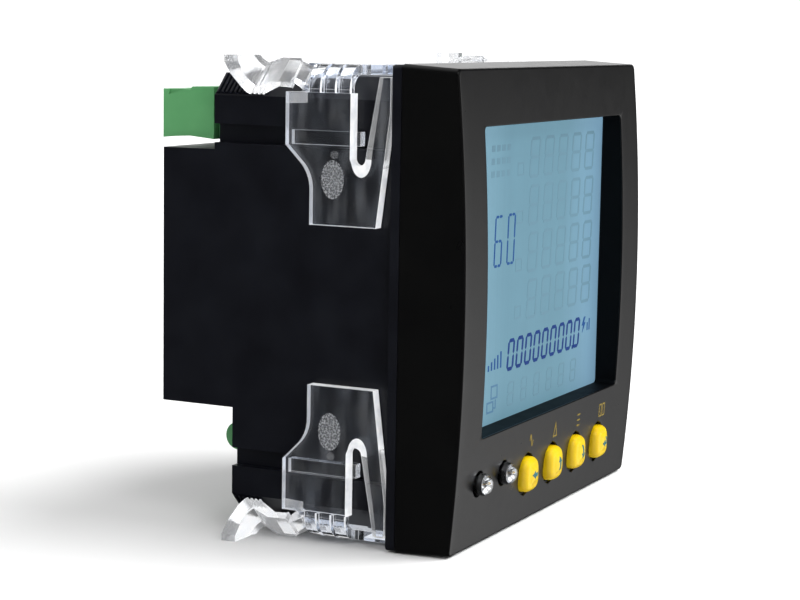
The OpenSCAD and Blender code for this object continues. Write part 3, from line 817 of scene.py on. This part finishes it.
def build_bezel(material):
    """Curved front frame with its window, button and lamp holes, collar and screw bosses."""
    low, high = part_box("front_bezel")
    shell = Shell()
    outer = rounded_rect(2 * high.x, 2 * FRONT_HALF, OUTER_CORNER_R)
    outer_front, outer_wall = rim(shell, outer, OUTER_RIM_R, -1)
    draft = high.z / FRONT_HALF
    outer_back = shell.flat_ring([(x, z * draft) for x, z in outer], high.y)
    shell.strip(outer_wall, outer_back)
    front_loops, back_loops = [outer_front], []

    def add_hole(outline, rim_r, *sections):
        hole_front, hole_wall = rim(shell, outline, rim_r, 1)
        rings = [hole_wall] + [shell.flat_ring(points, depth) for points, depth in sections]
        shell.strips(rings)
        front_loops.append(hole_front)
        back_loops.append(rings[-1])

    window = rounded_rect(WINDOW_W, WINDOW_H, WINDOW_CORNER_R, WINDOW_Z)
    collar = grown(window, COLLAR_T)
    add_hole(window, WINDOW_RIM_R, (window, COLLAR_BACK), (collar, COLLAR_BACK), (collar, SKIN_BACK))
    for k in range(1, 5):
        centre = centre_of(f"button_cap_{k}")
        plain = moved(rounded_rect(CAP_W + 2 * CAP_GAP, CAP_H + 2 * CAP_GAP, CAP_CORNER_R, step=0.5 * MM), *centre)
        notched = with_notches(plain, centre)
        add_hole(notched, HOLE_RIM_R, (notched, NOTCH_FLOOR), (plain, NOTCH_FLOOR), (plain, SKIN_BACK))
    for side in ("left", "right"):
        hole = circle(LAMP_R + LAMP_GAP, centre_of(f"led_lens_{side}"))
        add_hole(hole, HOLE_RIM_R, (hole, SKIN_BACK))

    for sx in (-1, 1):
        for sz in (-1, 1):
            centre = (sx * BOSS_AT, sz * BOSS_AT)
            rings = [shell.flat_ring(circle(radius, centre, 32), depth)
                     for radius, depth in ((BOSS_R, SKIN_BACK), (BOSS_R, BOSS_BACK), (BOSS_BORE_R, BOSS_BACK),
                                           (BOSS_BORE_R, SKIN_BACK + 1 * MM))]
            shell.strips(rings)
            shell.cap(rings[-1])
            back_loops.append(rings[0])

    cavity = rounded_rect(CAVITY_W, CAVITY_H, 1.5 * MM)
    cavity_rings = [shell.flat_ring(cavity, SKIN_BACK), shell.flat_ring(cavity, high.y)]
    shell.strips(cavity_rings)
    shell.fill(front_loops, front_depth, SHEET_PITCH)
    shell.fill([cavity_rings[0]] + back_loops, lambda z: SKIN_BACK)
    shell.fill([outer_back, cavity_rings[1]], lambda z: high.y)
    bezel = shell.build("bezel_moulding", material, "housing")
    # The walls round the window take the darker, duller plastic: painted shade.
    bezel.data.materials.append(recess_painted_shade_plastic())
    for face in bezel.data.polygons:
        if in_recess(face.center):
            face.material_index = 1
    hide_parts("front_bezel")


def in_recess(point):
    """Whether a face's middle lies on the walls round the window."""
    across = abs(point.x) < WINDOW_W / 2 + 0.01 * MM and abs(point.z - WINDOW_Z) < WINDOW_H / 2 + 0.01 * MM
    return across and front_depth(point.z) + WINDOW_RIM_R < point.y < COLLAR_BACK + 0.01 * MM


def superellipse(a, b, power, sides):
    def bent(value, reach):
        return math.copysign(abs(value) ** (2 / power), value) * reach

    angles = [2 * math.pi * k / sides for k in range(sides)]
    return [(bent(math.cos(angle), a), bent(math.sin(angle), b)) for angle in angles]


def build_cap(k, material):
    """Rubber button with a crowned front and rounded edge, its retaining flange and stem."""
    low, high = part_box(f"button_cap_{k}")
    centre = centre_of(f"button_cap_{k}")
    front = low.y + CAP_SINK
    shell = Shell()
    body = superellipse(CAP_W / 2, CAP_H / 2, 3, CAP_SIDES)
    top = grown(body, -CAP_EDGE_R)
    rings = []
    for i in range(1, 8):
        share = i / 8
        depth = front + CAP_CROWN * share ** 2
        rings.append(shell.flat_ring(moved([(x * share, z * share) for x, z in top], *centre), depth))
    for i in range(9):
        angle = math.pi / 2 * i / 8
        outline = grown(body, -CAP_EDGE_R * (1 - math.sin(angle)))
        depth = front + CAP_CROWN + CAP_EDGE_R * (1 - math.cos(angle))
        rings.append(shell.flat_ring(moved(outline, *centre), depth))
    flange = superellipse(high.x - centre[0], high.z - centre[1], 3, CAP_SIDES)
    stem = superellipse(1.5 * MM, 1.5 * MM, 2, CAP_SIDES)
    flange_front = -11.6 * MM
    flange_back = -10.9 * MM
    for outline, depth in ((body, flange_front), (flange, flange_front), (flange, flange_back),
                           (stem, flange_back), (stem, high.y)):
        rings.append(shell.flat_ring(moved(outline, *centre), depth))
    shell.strips(rings)
    shell.fan(rings[0], (centre[0], front, centre[1]))
    shell.cap(rings[-1])
    cap = shell.build(f"button_{k}_rubber", material, f"button_{k}")
    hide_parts(f"button_cap_{k}")
    return cap


def surface_of(piece):
    """The front depth of a piece at (x, z)."""
    bm = bmesh.new()
    bm.from_mesh(piece.data)
    tree = BVHTree.FromBMesh(bm)
    bm.free()
    start = cad_low.y - 0.01

    return lambda x, z: tree.ray_cast(Vector((x, start, z)), Vector((0, 1, 0)))[0].y


def arrow(length, head, head_w, shaft_w):
    """Arrow along +X, centred."""
    tip = length / 2
    neck = tip - head
    return [[(-tip, -shaft_w / 2), (neck, -shaft_w / 2), (neck, shaft_w / 2), (-tip, shaft_w / 2)],
            [(neck, -shaft_w / 2), (neck, -head_w / 2), (tip, 0), (neck, head_w / 2), (neck, shaft_w / 2)]]


def turned(shapes, degrees):
    angle = math.radians(degrees)
    c, s = math.cos(angle), math.sin(angle)
    return [[(x * c - z * s, x * s + z * c) for x, z in shape] for shape in shapes]


def cap_symbols():
    """Arrow on each cap: left, up, down, and a bent enter arrow."""
    plain = arrow(3.1, 1.3, 1.9, 0.8)
    bent = shifted(turned(arrow(2.3, 1.2, 1.7, 0.65), 180), -0.2, -0.35)
    hook = [[(0.3, -0.02), (0.95, -0.02), (0.95, 1.1), (0.3, 1.1)]]
    return [turned(plain, 180), turned(plain, 90), turned(plain, -90), bent + hook]


def label_marks():
    """Small pictogram above each button: wave, peak, levels, two windows."""
    t = 0.36
    wave = [(-0.85 + 0.17 * i, 1.2 * math.sin(2 * math.pi * i / 10)) for i in range(11)]
    peak = [(-0.95, -1.3), (0, 1.4), (0.95, -1.3)]
    levels = [quad for z in (-1.2, 0, 1.2) for quad in band([(-0.8, z), (0.8, z)], t)]
    windows = box_line(-1.6, -1.3, -0.35, 1.3, t) + box_line(0.35, -1.3, 1.6, 1.3, t)
    return [band(wave, t), band(peak, t, closed=True), levels, windows]


def build_buttons(rubber, teal, gold):
    """Caps, the symbol on each and the label above it."""
    for k, symbol, label, dx in zip(range(1, 5), cap_symbols(), label_marks(), LABEL_SHIFTS):
        cap = build_cap(k, rubber)
        x, z = centre_of(f"button_cap_{k}")
        flat_mark(f"button_{k}_symbol", shifted(in_metres(symbol), x + 0.1 * MM, z + 0.1 * MM), surface_of(cap),
                  teal, f"button_{k}", INK_LIFT, 0.35 * MM)
        flat_mark(f"label_{k}", shifted(in_metres(label), x + dx, LABEL_Z), lambda x, z: front_depth(z),
                  gold, "housing", INK_LIFT, 0.6 * MM)


def build_lamp(side, lens_material, metal_material, wire_material):
    """Clear lamp with its flange, and the lead frame that is moulded into it."""
    node = f"led_lens_{side}"
    low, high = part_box(node)
    centre = centre_of(node)
    dome_y = low.y + LAMP_R
    profile = [(0, low.y)]
    profile += [(LAMP_R * math.sin(a), dome_y - LAMP_R * math.cos(a))
                for a in (math.pi / 2 * i / 12 for i in range(1, 13))]
    flange_r = high.x - centre[0]
    flange_y = high.y - 1 * MM
    edge = 0.12 * MM
    profile += [(LAMP_R, flange_y - edge), (LAMP_R + edge, flange_y), (flange_r - edge, flange_y),
                (flange_r, flange_y + edge), (flange_r, high.y - edge), (flange_r - edge, high.y)]
    shell = Shell()
    lathe(shell, profile, centre, 48)
    lens = shell.build(f"lamp_{side}_lens", lens_material, "housing", 50)
    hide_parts(node)
    build_lead_frame(side, centre, dome_y, metal_material, wire_material)


def build_lead_frame(side, centre, dome_y, metal_material, wire_material):
    """Reflector cup on its anvil, the second post and the bond wire between them."""
    x, z = centre
    cup = dome_y - 0.6 * MM
    anvil_x = x + 0.2 * MM
    post_x = x + 1.15 * MM
    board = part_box("display_board")[0].y
    shell = Shell()
    profile = [(0, 0.9), (0.4, 0.9), (1.5, 0), (1.7, 0), (1.7, 0.9), (1.0, 1.9), (0, 1.9)]
    lathe(shell, [(radius * MM, cup + depth * MM) for radius, depth in profile], (anvil_x, z), 40)
    for width, at, front, back in ((1.5, anvil_x - 0.1 * MM, cup + 1.5 * MM, cup + 3.6 * MM),
                                   (0.5, x - 1 * MM, cup + 3.4 * MM, board),
                                   (0.8, post_x, cup + 0.2 * MM, cup + 3.6 * MM),
                                   (0.5, x + 1 * MM, cup + 3.4 * MM, board)):
        section = rounded_rect(width * MM, 0.5 * MM, 0.1 * MM, 0, 1 * MM, 3)
        prism(shell, moved(section, at, z), front, back)
    leads = shell.build(f"lamp_{side}_lead_frame", metal_material, "housing", 30)
    if side == "left":
        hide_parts("led_lead_frames")
    start = Vector((anvil_x, cup + 0.5 * MM, z))
    end = Vector((post_x, cup + 0.22 * MM, z))
    points = [start.lerp(end, t / 8) - Vector((0, 0.5 * MM * math.sin(math.pi * t / 8), 0)) for t in range(9)]
    build_wire(f"lamp_{side}_bond_wire", points, 0.05 * MM, wire_material)


def build_wire(name, points, radius, material):
    """Round wire along a list of points."""
    shell = Shell()
    rings = []
    for k, point in enumerate(points):
        ahead = (points[min(k + 1, len(points) - 1)] - points[max(k - 1, 0)]).normalized()
        across = ahead.cross(Vector((0, 0, 1))).normalized()
        up = across.cross(ahead)
        rings.append(shell.ring([point + (across * math.cos(a) + up * math.sin(a)) * radius
                                 for a in (math.pi / 4 * i for i in range(8))]))
    shell.strips(rings)
    shell.cap(rings[0])
    shell.cap(rings[-1])
    shell.build(name, material, "housing", 60)


# ---- Display ----


def tall_figures():
    """Two tall lit figures."""
    return [shape for k, figure in enumerate("60")
            for shape in digit(figure, -22.0 + 6.5 * k, 6.7, 3.9, 10.6, 0.55, 0.6, split=True)]


def counter_figures():
    """The long counter and its point."""
    shapes = [shape for k in range(9)
              for shape in digit("0", -14.2 + 4.62 * k, -15.7, 3.5, 6.7, 0.78, 0.95, gap=0.08)]
    x, z, size = 22.35, -15.75, 0.85
    return shapes + [[(x, z), (x + size, z), (x + size, z + size), (x, z + size)]]


def small_marks():
    """Bar graph before the counter, and a flash and two bars behind it."""
    shapes = []
    for k in range(5):
        x = -23.3 + 1.55 * k
        shapes += band([(x, -14.4), (x, -13.2 + 0.55 * k)], 0.62)
    shapes.append([(29.4, -9.3), (28.1, -11.2), (29.0, -11.2), (28.4, -12.9), (30.4, -10.6), (29.4, -10.6),
                   (30.3, -9.3)])
    for k in range(2):
        x = 31.5 + 1.2 * k
        shapes += band([(x, -12.6), (x, -10.8 + 0.8 * k)], 0.5)
    return shapes


def faint_marks():
    """Lower left pictogram: two linked boxes, weakly driven."""
    t = 0.4
    return (box_line(-21.6, -20.3, -18.6, -17.8, t) + box_line(-23.6, -23.0, -20.6, -21.0, t)
            + band([(-19.4, -20.7), (-19.4, -22.4), (-20.2, -22.4)], t))


def ghost_figures():
    """Undriven figures that only just show: four rows of five, a row of six and a few side marks."""
    shapes = []
    for row in range(4):
        base = 24.0 - 10.0 * row
        for k in range(5):
            shapes += digit("8", -4.5 + 7.8 * k, base, 5.4, 8.6, 0.7, 0.8)
        shapes += box_line(-10.4, base + 1, -7.4, base + 3.4, 0.4)
    for row in range(3):
        for k in range(4):
            x, z = -24.0 + 2.6 * k, 31.0 - 2.6 * row
            shapes += band([(x, z), (x + 1.7, z)], 1.3)
    for k in range(6):
        shapes += digit("8", -13.5 + 7.0 * k, -23.2, 3.4, 5.2, 0.5, 0.5)
    return shapes


def build_display():
    """Film, figures and marks of the liquid crystal display."""
    paint("lcd_front_polarizer", lcd_film())
    dark = lcd_ink("lcd_dark", colour(7, 32, 76), colour(5, 26, 67))
    thin = lcd_ink("lcd_blue", colour(15, 48, 87), colour(11, 41, 79))
    weak = lcd_ink("lcd_weak", colour(49, 75, 94), colour(45, 70, 90))
    ghost = lcd_ink("lcd_ghost", colour(61, 85, 96), colour(60, 83, 94))
    for name, shapes, ink, lift in (("counter_figures", counter_figures(), dark, 1.0),
                                    ("tall_figures", tall_figures(), thin, 1.0),
                                    ("small_marks", small_marks(), thin, 1.0),
                                    ("faint_marks", faint_marks(), weak, 0.8),
                                    ("ghost_figures", ghost_figures(), ghost, 0.6)):
        flat_mark(name, in_metres(shapes), lambda x, z: FILM_FRONT, ink, "housing",
                  lift * SEGMENT_LIFT, 50 * MM)


# ---- Clips ----


def build_oval(name, clip, side, centre, half, material):
    """Textured oval patch on the outer face of a clip's ear; centre and half are (depth, height)."""
    face_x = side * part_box(clip)[1].x
    shell = Shell()
    steps, sides = 26, 96
    rings = []
    for i in range(1, steps + 1):
        share = i / steps
        points = []
        for k in range(sides):
            angle = 2 * math.pi * k / sides
            y = centre[0] + half[0] * share * math.cos(angle)
            z = centre[1] + half[1] * share * math.sin(angle)
            rough = noise.noise(Vector((y, z, side)) / (0.26 * MM))
            lift = (0.05 + 0.03 * rough) * MM * min(1, (1 - share) * 8)
            points.append((face_x + side * lift, y, z))
        rings.append(shell.ring(points))
    base = shell.ring([(face_x - side * 0.01 * MM, shell.verts[i][1], shell.verts[i][2]) for i in rings[-1]])
    rings.append(base)
    shell.strips(rings)
    shell.fan(rings[0], (face_x + side * 0.05 * MM, centre[0], centre[1]))
    shell.cap(base)
    shell.build(name, material, clip, 80).visible_shadow = False


def slot_rim(y, height):
    """Where a point of the slot's edge lies on the ear's outer face: the slot opens outwards."""
    if y > SLOT_REAR - NEAR:
        return y + 0.3 * MM, height
    if height < SLOT_Z + NEAR:
        share = (SLOT_Z - height) / SLOT_R
        ahead = (SLOT_REAR - SLOT_R - y) / SLOT_R
        return y - 0.85 * MM - 0.85 * MM * ahead, height - 2.2 * MM * max(0, share)
    return y - 1.7 * MM * (1 - 0.3 * (height - SLOT_Z) / (ARM_TOP - SLOT_Z)), height


def cad_copy(node):
    """Copy of a CAD node's mesh with its flat faces joined up, to be changed."""
    bm = bmesh.new()
    bm.from_mesh(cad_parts[node].data)
    bmesh.ops.remove_doubles(bm, verts=bm.verts, dist=1e-6)
    bmesh.ops.dissolve_limit(bm, angle_limit=math.radians(FLAT_ANGLE), verts=bm.verts, edges=bm.edges)
    return bm


def clear_stand_in(bm, node, material, smooth_angle, width, segments):
    """Makes the changed copy of a clear CAD node the piece that is seen, and rounds its edges."""
    mesh = bpy.data.meshes.new(f"{node}_moulding")
    bm.to_mesh(mesh)
    bm.free()
    piece = finish_piece(mesh, material, node, smooth_angle)
    bevel = bevel_edges(piece, width, segments)
    piece.modifiers.move(1, 0)
    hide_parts(node)
    return piece, bevel


def flare_slots(bm, face_x, up):
    """Opens each slot outwards, from a cut inside the ear to its outer face."""
    cut_x = face_x - 0.75 * MM
    for side in (-1, 1):
        everything = bm.verts[:] + bm.edges[:] + bm.faces[:]
        bmesh.ops.bisect_plane(bm, geom=everything, plane_co=(side * cut_x, 0, 0), plane_no=(1, 0, 0), dist=1e-7)
    for vert in bm.verts:
        x, y, z = vert.co
        height = z * up
        front = SLOT_FRONT + (SLOT_Z - height) * ARM_SLANT
        on_face = abs(abs(x) - face_x) < 0.01 * MM
        in_slot = (SLOT_Z - SLOT_R - 2 * NEAR < height < ARM_TOP + 2 * NEAR
                   and front - 2 * NEAR < y < SLOT_REAR + 2 * NEAR)
        if on_face and in_slot and not (y > SLOT_REAR - NEAR and height > EAR_TOP):
            y, height = slot_rim(y, height)
            vert.co = (x, y, height * up)


def lengthen_ribs(bm):
    """Moves the rear end of the rib inside each ear."""
    ribs = [vert for vert in bm.verts
            if EAR_IN - 3 * MM < abs(vert.co.x) < EAR_IN + NEAR and RIB_LOW < abs(vert.co.z) < RIB_HIGH]
    end = max(vert.co.y for vert in ribs if abs(vert.co.x) < EAR_IN - NEAR)
    for vert in ribs:
        if abs(vert.co.y - end) < NEAR:
            vert.co.y += RIB_LONGER


def cut_front_strips(bm, up):
    """Splits each ear's front edge where its painted glow changes, from the edge glow to the weaker rib glow."""
    strips = [face for face in bm.faces
              if face.normal.y < -0.2 and face.calc_center_median().y < SLOT_FRONT
              and min(abs(vert.co.x) for vert in face.verts) > EAR_IN - NEAR]
    around = dict.fromkeys(item for face in strips for item in face.verts[:] + face.edges[:])
    bmesh.ops.bisect_plane(bm, geom=strips + list(around), plane_co=(0, 0, up * EAR_LIT), plane_no=(0, 0, 1),
                           dist=1e-7)


def clip_look(face):
    """Which of a clip's materials a face shows: 0 clear, 1 edge with a strong painted glow, 2 rib with a weak
    painted glow.
    """
    across = [abs(vert.co.x) for vert in face.verts]
    heights = [abs(vert.co.z) for vert in face.verts]
    middle = face.calc_center_median()
    if min(across) > EAR_IN - NEAR and max(across) - min(across) > 0.5 * MM:
        flank = face.normal.y > 0.2 and middle.y < SLOT_REAR and abs(middle.z) > SLOT_Z
        front = face.normal.y < -0.2 and middle.y < SLOT_FRONT and abs(middle.z) > EAR_LIT
        return 2 if flank or front else 1
    inside_ear = max(across) < EAR_IN + NEAR and min(across) > EAR_IN - 3 * MM
    on_rib = inside_ear and min(heights) > RIB_LOW and max(heights) < RIB_HIGH
    return 1 if on_rib and abs(face.normal.x) < 0.5 else 0


def build_clip(clip, up, clear, edge, rib):
    """Clear clip: the CAD shape with an outward flare round each slot and rounded edges, made whiter by a painted
    glow.
    """
    bm = cad_copy(clip)
    flare_slots(bm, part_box(clip)[1].x, up)
    lengthen_ribs(bm)
    bm.normal_update()
    cut_front_strips(bm, up)
    for face in bm.faces:
        face.material_index = clip_look(face)
    piece, bevel = clear_stand_in(bm, clip, clear, 30, 0.2 * MM, 2)
    piece.data.materials.append(edge)
    piece.data.materials.append(rib)
    bevel.material = 1


def build_lever(node, clear):
    """Clear lever: the CAD shape with its thumb tab well rounded and its strap a little."""
    bm = cad_copy(node)
    weight = bm.edges.layers.float.new("bevel_weight_edge")
    for edge in bm.edges:
        long_enough = edge.calc_length() > 1.1 * MM
        if long_enough and len(edge.link_faces) == 2 and edge.calc_face_angle() > math.radians(EDGE_ANGLE):
            edge[weight] = 1.0 if min(vert.co.y for vert in edge.verts) > TAB_FRONT - 0.6 * MM else 0.55
    # The lever's finish is clear plastic with a weak painted glow.
    bevel = clear_stand_in(bm, node, clear, 50, LEVER_ROUNDING, 4)[1]
    bevel.limit_method = "WEIGHT"


def build_pad(name, clip, side, up, material):
    """Thicker pad on the rear corner of an ear, with softened edges."""
    face_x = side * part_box(clip)[1].x
    corner = [(18.5, 39.95), (23.3, 39.7), (23.3, 41.9), (18.5, 41.9)]
    shell = Shell()
    rings = []
    for inset, lift in ((0, -0.02), (0, 0.08), (0.12, 0.16)):
        points = []
        for y, z in corner:
            points.append((face_x + side * lift * MM, (y + (inset if y < 20 else -inset)) * MM,
                           up * (z + (inset if z < 41 else -inset)) * MM))
        rings.append(shell.ring(points))
    shell.strips(rings)
    shell.cap(rings[0])
    shell.cap(rings[-1])
    # The pad takes the rib finish, with its weak painted glow.
    shell.build(name, material, clip, 50)


def build_clips(clear, edge, rib, gate, glowing_lever_plastic, frosted):
    """Clear clips and levers with their textured patches and gate marks."""
    for clip, up in (("clip_top", 1), ("clip_bottom", -1)):
        build_clip(clip, up, clear, edge, rib)
        for side, word in ((-1, "left"), (1, "right")):
            patch_at = (12.75 * MM, up * 25.1 * MM)
            gate_at = (12.4 * MM, up * 30.0 * MM)
            build_oval(f"{clip}_{word}_patch", clip, side, patch_at, (2.5 * MM, 3.8 * MM), frosted)
            # The gate mark takes a finish with a faint painted glow.
            build_oval(f"{clip}_{word}_gate", clip, side, gate_at, (0.9 * MM, 0.8 * MM), gate)
            build_pad(f"{clip}_{word}_pad", clip, side, up, rib)
    for lever in ("top_left", "top_right", "bottom_left", "bottom_right"):
        build_lever(f"lever_{lever}", glowing_lever_plastic)


# ---- Case, connectors and what is inside ----


def finish_cad_nodes(materials):
    """Materials and rounded edges of the pieces whose CAD shape is right."""
    looks = (
        ("case", 0.22, "rear_case"), ("terminal", 0.15, "current_terminal_block"),
        ("steel", 0.12, "terminal_clamp_plates"), ("screw", 0.12, "terminal_screws"),
        ("green", 0.1, "left_header right_header"), ("green", 0.15, "voltage_header"),
        ("green", 0.14, "left_plug_body right_plug_body"), ("steel", 0.05, "left_plug_clamps right_plug_clamps"),
        ("screw", 0.06, "left_plug_screws right_plug_screws display_screws"), ("screw", 0.08, "board_screws"),
        ("copper", 0.1, "primary_bars"), ("tin", 0, "header_pins lcd_pins"), ("brass", 0.1, "board_standoffs"),
        ("glass", 0.05, "lcd_front_glass lcd_rear_glass"), ("guide", 0.1, "lcd_backlight"),
        ("spacer", 0.1, "lcd_frame"), ("spacer", 0.08, "led_spacers"),
        ("spacer", 0.15, "display_link_socket display_link_header stack_header"),
        ("board", 0.05, "display_board measure_board power_board"),
        ("chip", 0.1, "switch_bodies microcontroller metering_chip"),
        ("ferrite", 0.15, "transformer_core"), ("tape", 0.25, "transformer_winding"),
        ("sleeve", 0.4, "bulk_capacitor output_capacitors"),
        ("blue", 0.5, " ".join(f"current_transformer_{k}" for k in (1, 2, 3))),
        ("plunger", 0.15, " ".join(f"switch_plunger_{k}" for k in (1, 2, 3, 4))),
    )
    for look, rounding, nodes in looks:
        for node in nodes.split():
            paint(node, materials[look])
            if rounding:
                round_edges(node, rounding * MM)


def cad_materials():
    """Materials of the CAD pieces, by short name."""
    drawn = (1, 0.05, 1)
    return {
        "case": case_plastic(), "terminal": terminal_plastic(), "green": connector_plastic(),
        "steel": metal("clamp_steel", colour(190, 193, 198), colour(150, 152, 156), 0.3, drawn),
        "screw": metal("screw_steel", colour(205, 207, 210), colour(160, 162, 165), 0.24),
        "copper": metal("copper", colour(196, 122, 74), colour(150, 86, 52), 0.3, drawn),
        "tin": metal("tinned_metal", colour(214, 216, 218), colour(170, 172, 176), 0.25, drawn),
        "brass": metal("brass", colour(208, 172, 92), colour(168, 132, 66), 0.28),
        "glass": display_glass(), "guide": light_guide(), "spacer": spacer_plastic(),
        "board": circuit_board(), "chip": chip_plastic(), "ferrite": ferrite(), "tape": winding_tape(),
        "sleeve": capacitor_sleeve(), "blue": transformer_tape(), "plunger": plunger_plastic(),
    }


# ---- Studio ----


def make_camera():
    """Camera at the photograph's angle."""
    data = bpy.data.cameras.new("camera")
    data.lens = CAMERA_LENS
    data.sensor_width = 36
    data.clip_start = 0.01
    data.clip_end = 50
    heading, pitch, roll = (math.radians(angle) for angle in CAMERA_TURN)
    aim = Matrix.Rotation(-heading, 4, "Z") @ Matrix.Rotation(math.pi / 2 + pitch, 4, "X")
    camera = bpy.data.objects.new("camera", data)
    bpy.context.scene.collection.objects.link(camera)
    camera.matrix_world = Matrix.Translation(CAMERA_AT) @ aim @ Matrix.Rotation(roll, 4, "Z")
    bpy.context.scene.camera = camera


def make_floor():
    """Pale floor through the bezel's lower edge and the tips of the lower levers."""
    bezel_low, bezel_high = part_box("front_bezel")
    lever_low, lever_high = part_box("lever_bottom_left")
    front = Vector((0, bezel_high.y, bezel_low.z))
    rear = Vector((0, lever_high.y, lever_low.z))
    slope = math.atan2(rear.z - front.z, rear.y - front.y)
    extent = 6.0
    mesh = bpy.data.meshes.new("floor")
    corners = [(-extent, -extent, 0), (extent, -extent, 0), (extent, extent, 0), (-extent, extent, 0)]
    mesh.from_pydata(corners, [], [(0, 1, 2, 3)])
    floor = bpy.data.objects.new("floor", mesh)
    bpy.context.scene.collection.objects.link(floor)
    floor.location = front - Vector((0, 0, 0.05 * MM))
    floor.rotation_euler = (slope, 0, 0)
    look = Finish("floor_pale")
    look.give(BASE, look.ramp(look.noise(0.3, 2), (0.3, grey(0.86)), (0.7, grey(0.88))))
    look.give(ROUGH, 0.8)
    look.give(SPECULAR, 0.0)
    mesh.materials.append(look.material)
    floor.visible_glossy = False
    floor.visible_transmission = False


def soft_box(tree, direction, towards, start, full, strength):
    """Patch of light in the surroundings, from nothing at one cosine off its middle to full at another."""
    dot = tree.nodes.new("ShaderNodeVectorMath")
    dot.operation = "DOT_PRODUCT"
    tree.links.new(direction, dot.inputs[0])
    dot.inputs[1].default_value = Vector(towards).normalized()
    node = map_range(tree, dot.outputs["Value"], start, full, 0.0, strength)
    node.interpolation_type = "SMOOTHSTEP"
    return node.outputs["Result"]


def make_world():
    """White backdrop; what the meter reflects is a dim room with a few soft boxes."""
    world = bpy.data.worlds.new("studio")
    bpy.context.scene.world = world
    world.use_nodes = True
    tree = world.node_tree
    direction = tree.nodes.new("ShaderNodeTexCoord").outputs["Generated"]
    level = ROOM_LIGHT
    for towards, start, strength in SOFT_BOXES:
        level = maths(tree, "ADD", level, soft_box(tree, direction, towards, start, 1.0, strength))
    path = tree.nodes.new("ShaderNodeLightPath")
    through = soft_box(tree, direction, BACKDROP, BACKDROP_EDGE, BACKDROP_FULL, 1.0)
    through = maths(tree, "MULTIPLY", through, path.outputs["Is Transmission Ray"])
    level = maths(tree, "MAXIMUM", level, maths(tree, "MAXIMUM", through, path.outputs["Is Camera Ray"]))
    background = tree.nodes["Background"].inputs
    background["Color"].default_value = grey(1)
    tree.links.new(level, background["Strength"])


def soft_sun(name, power, angle, towards):
    """Broad light with no mirror image of its own."""
    data = bpy.data.lights.new(name, "SUN")
    data.energy = power
    data.angle = math.radians(angle)
    sun = bpy.data.objects.new(name, data)
    bpy.context.scene.collection.objects.link(sun)
    sun.rotation_euler = Vector(towards).to_track_quat("Z", "Y").to_euler()
    sun.visible_glossy = False


def make_light():
    """Soft key light from the upper right in front, a wide fill from above, and the surroundings."""
    make_world()
    soft_sun("key", SUN_POWER, SUN_ANGLE, SUN_FROM)
    soft_sun("fill", FILL_POWER, FILL_ANGLE, FILL_FROM)
    bpy.context.scene.view_settings.view_transform = "Standard"


def main():
    make_camera()
    make_light()
    make_floor()
    materials = cad_materials()
    finish_cad_nodes(materials)
    build_bezel(bezel_plastic())
    teal = print_ink("ink_teal", colour(44, 104, 112), colour(36, 90, 98))
    gold = print_ink("ink_gold", colour(132, 112, 36), colour(104, 88, 30))
    build_buttons(cap_rubber(), teal, gold)
    lens = lamp_clear()
    wire = metal("bond_wire", colour(222, 190, 110), colour(200, 168, 92), 0.2)
    for side in ("left", "right"):
        build_lamp(side, lens, materials["tin"], wire)
    build_display()
    # Painted glow for the clips: strong on the edges, weaker on ribs and pads, faint on levers and gate marks.
    edge = painted_glow_plastic("clip_edge_painted_glow", 0.4, 0.55, 0.42)
    rib = painted_glow_plastic("clip_rib_painted_glow", 0.8, 0.88, 0.09)
    gate = painted_glow_plastic("clip_gate_painted_glow", 0.93, 0.97, 0.012)
    glowing_lever_plastic = painted_glow_plastic("clip_lever_painted_glow", 0.89, 0.96, 0.05)
    build_clips(clear_plastic(), edge, rib, gate, glowing_lever_plastic, frosted_plastic())


main()
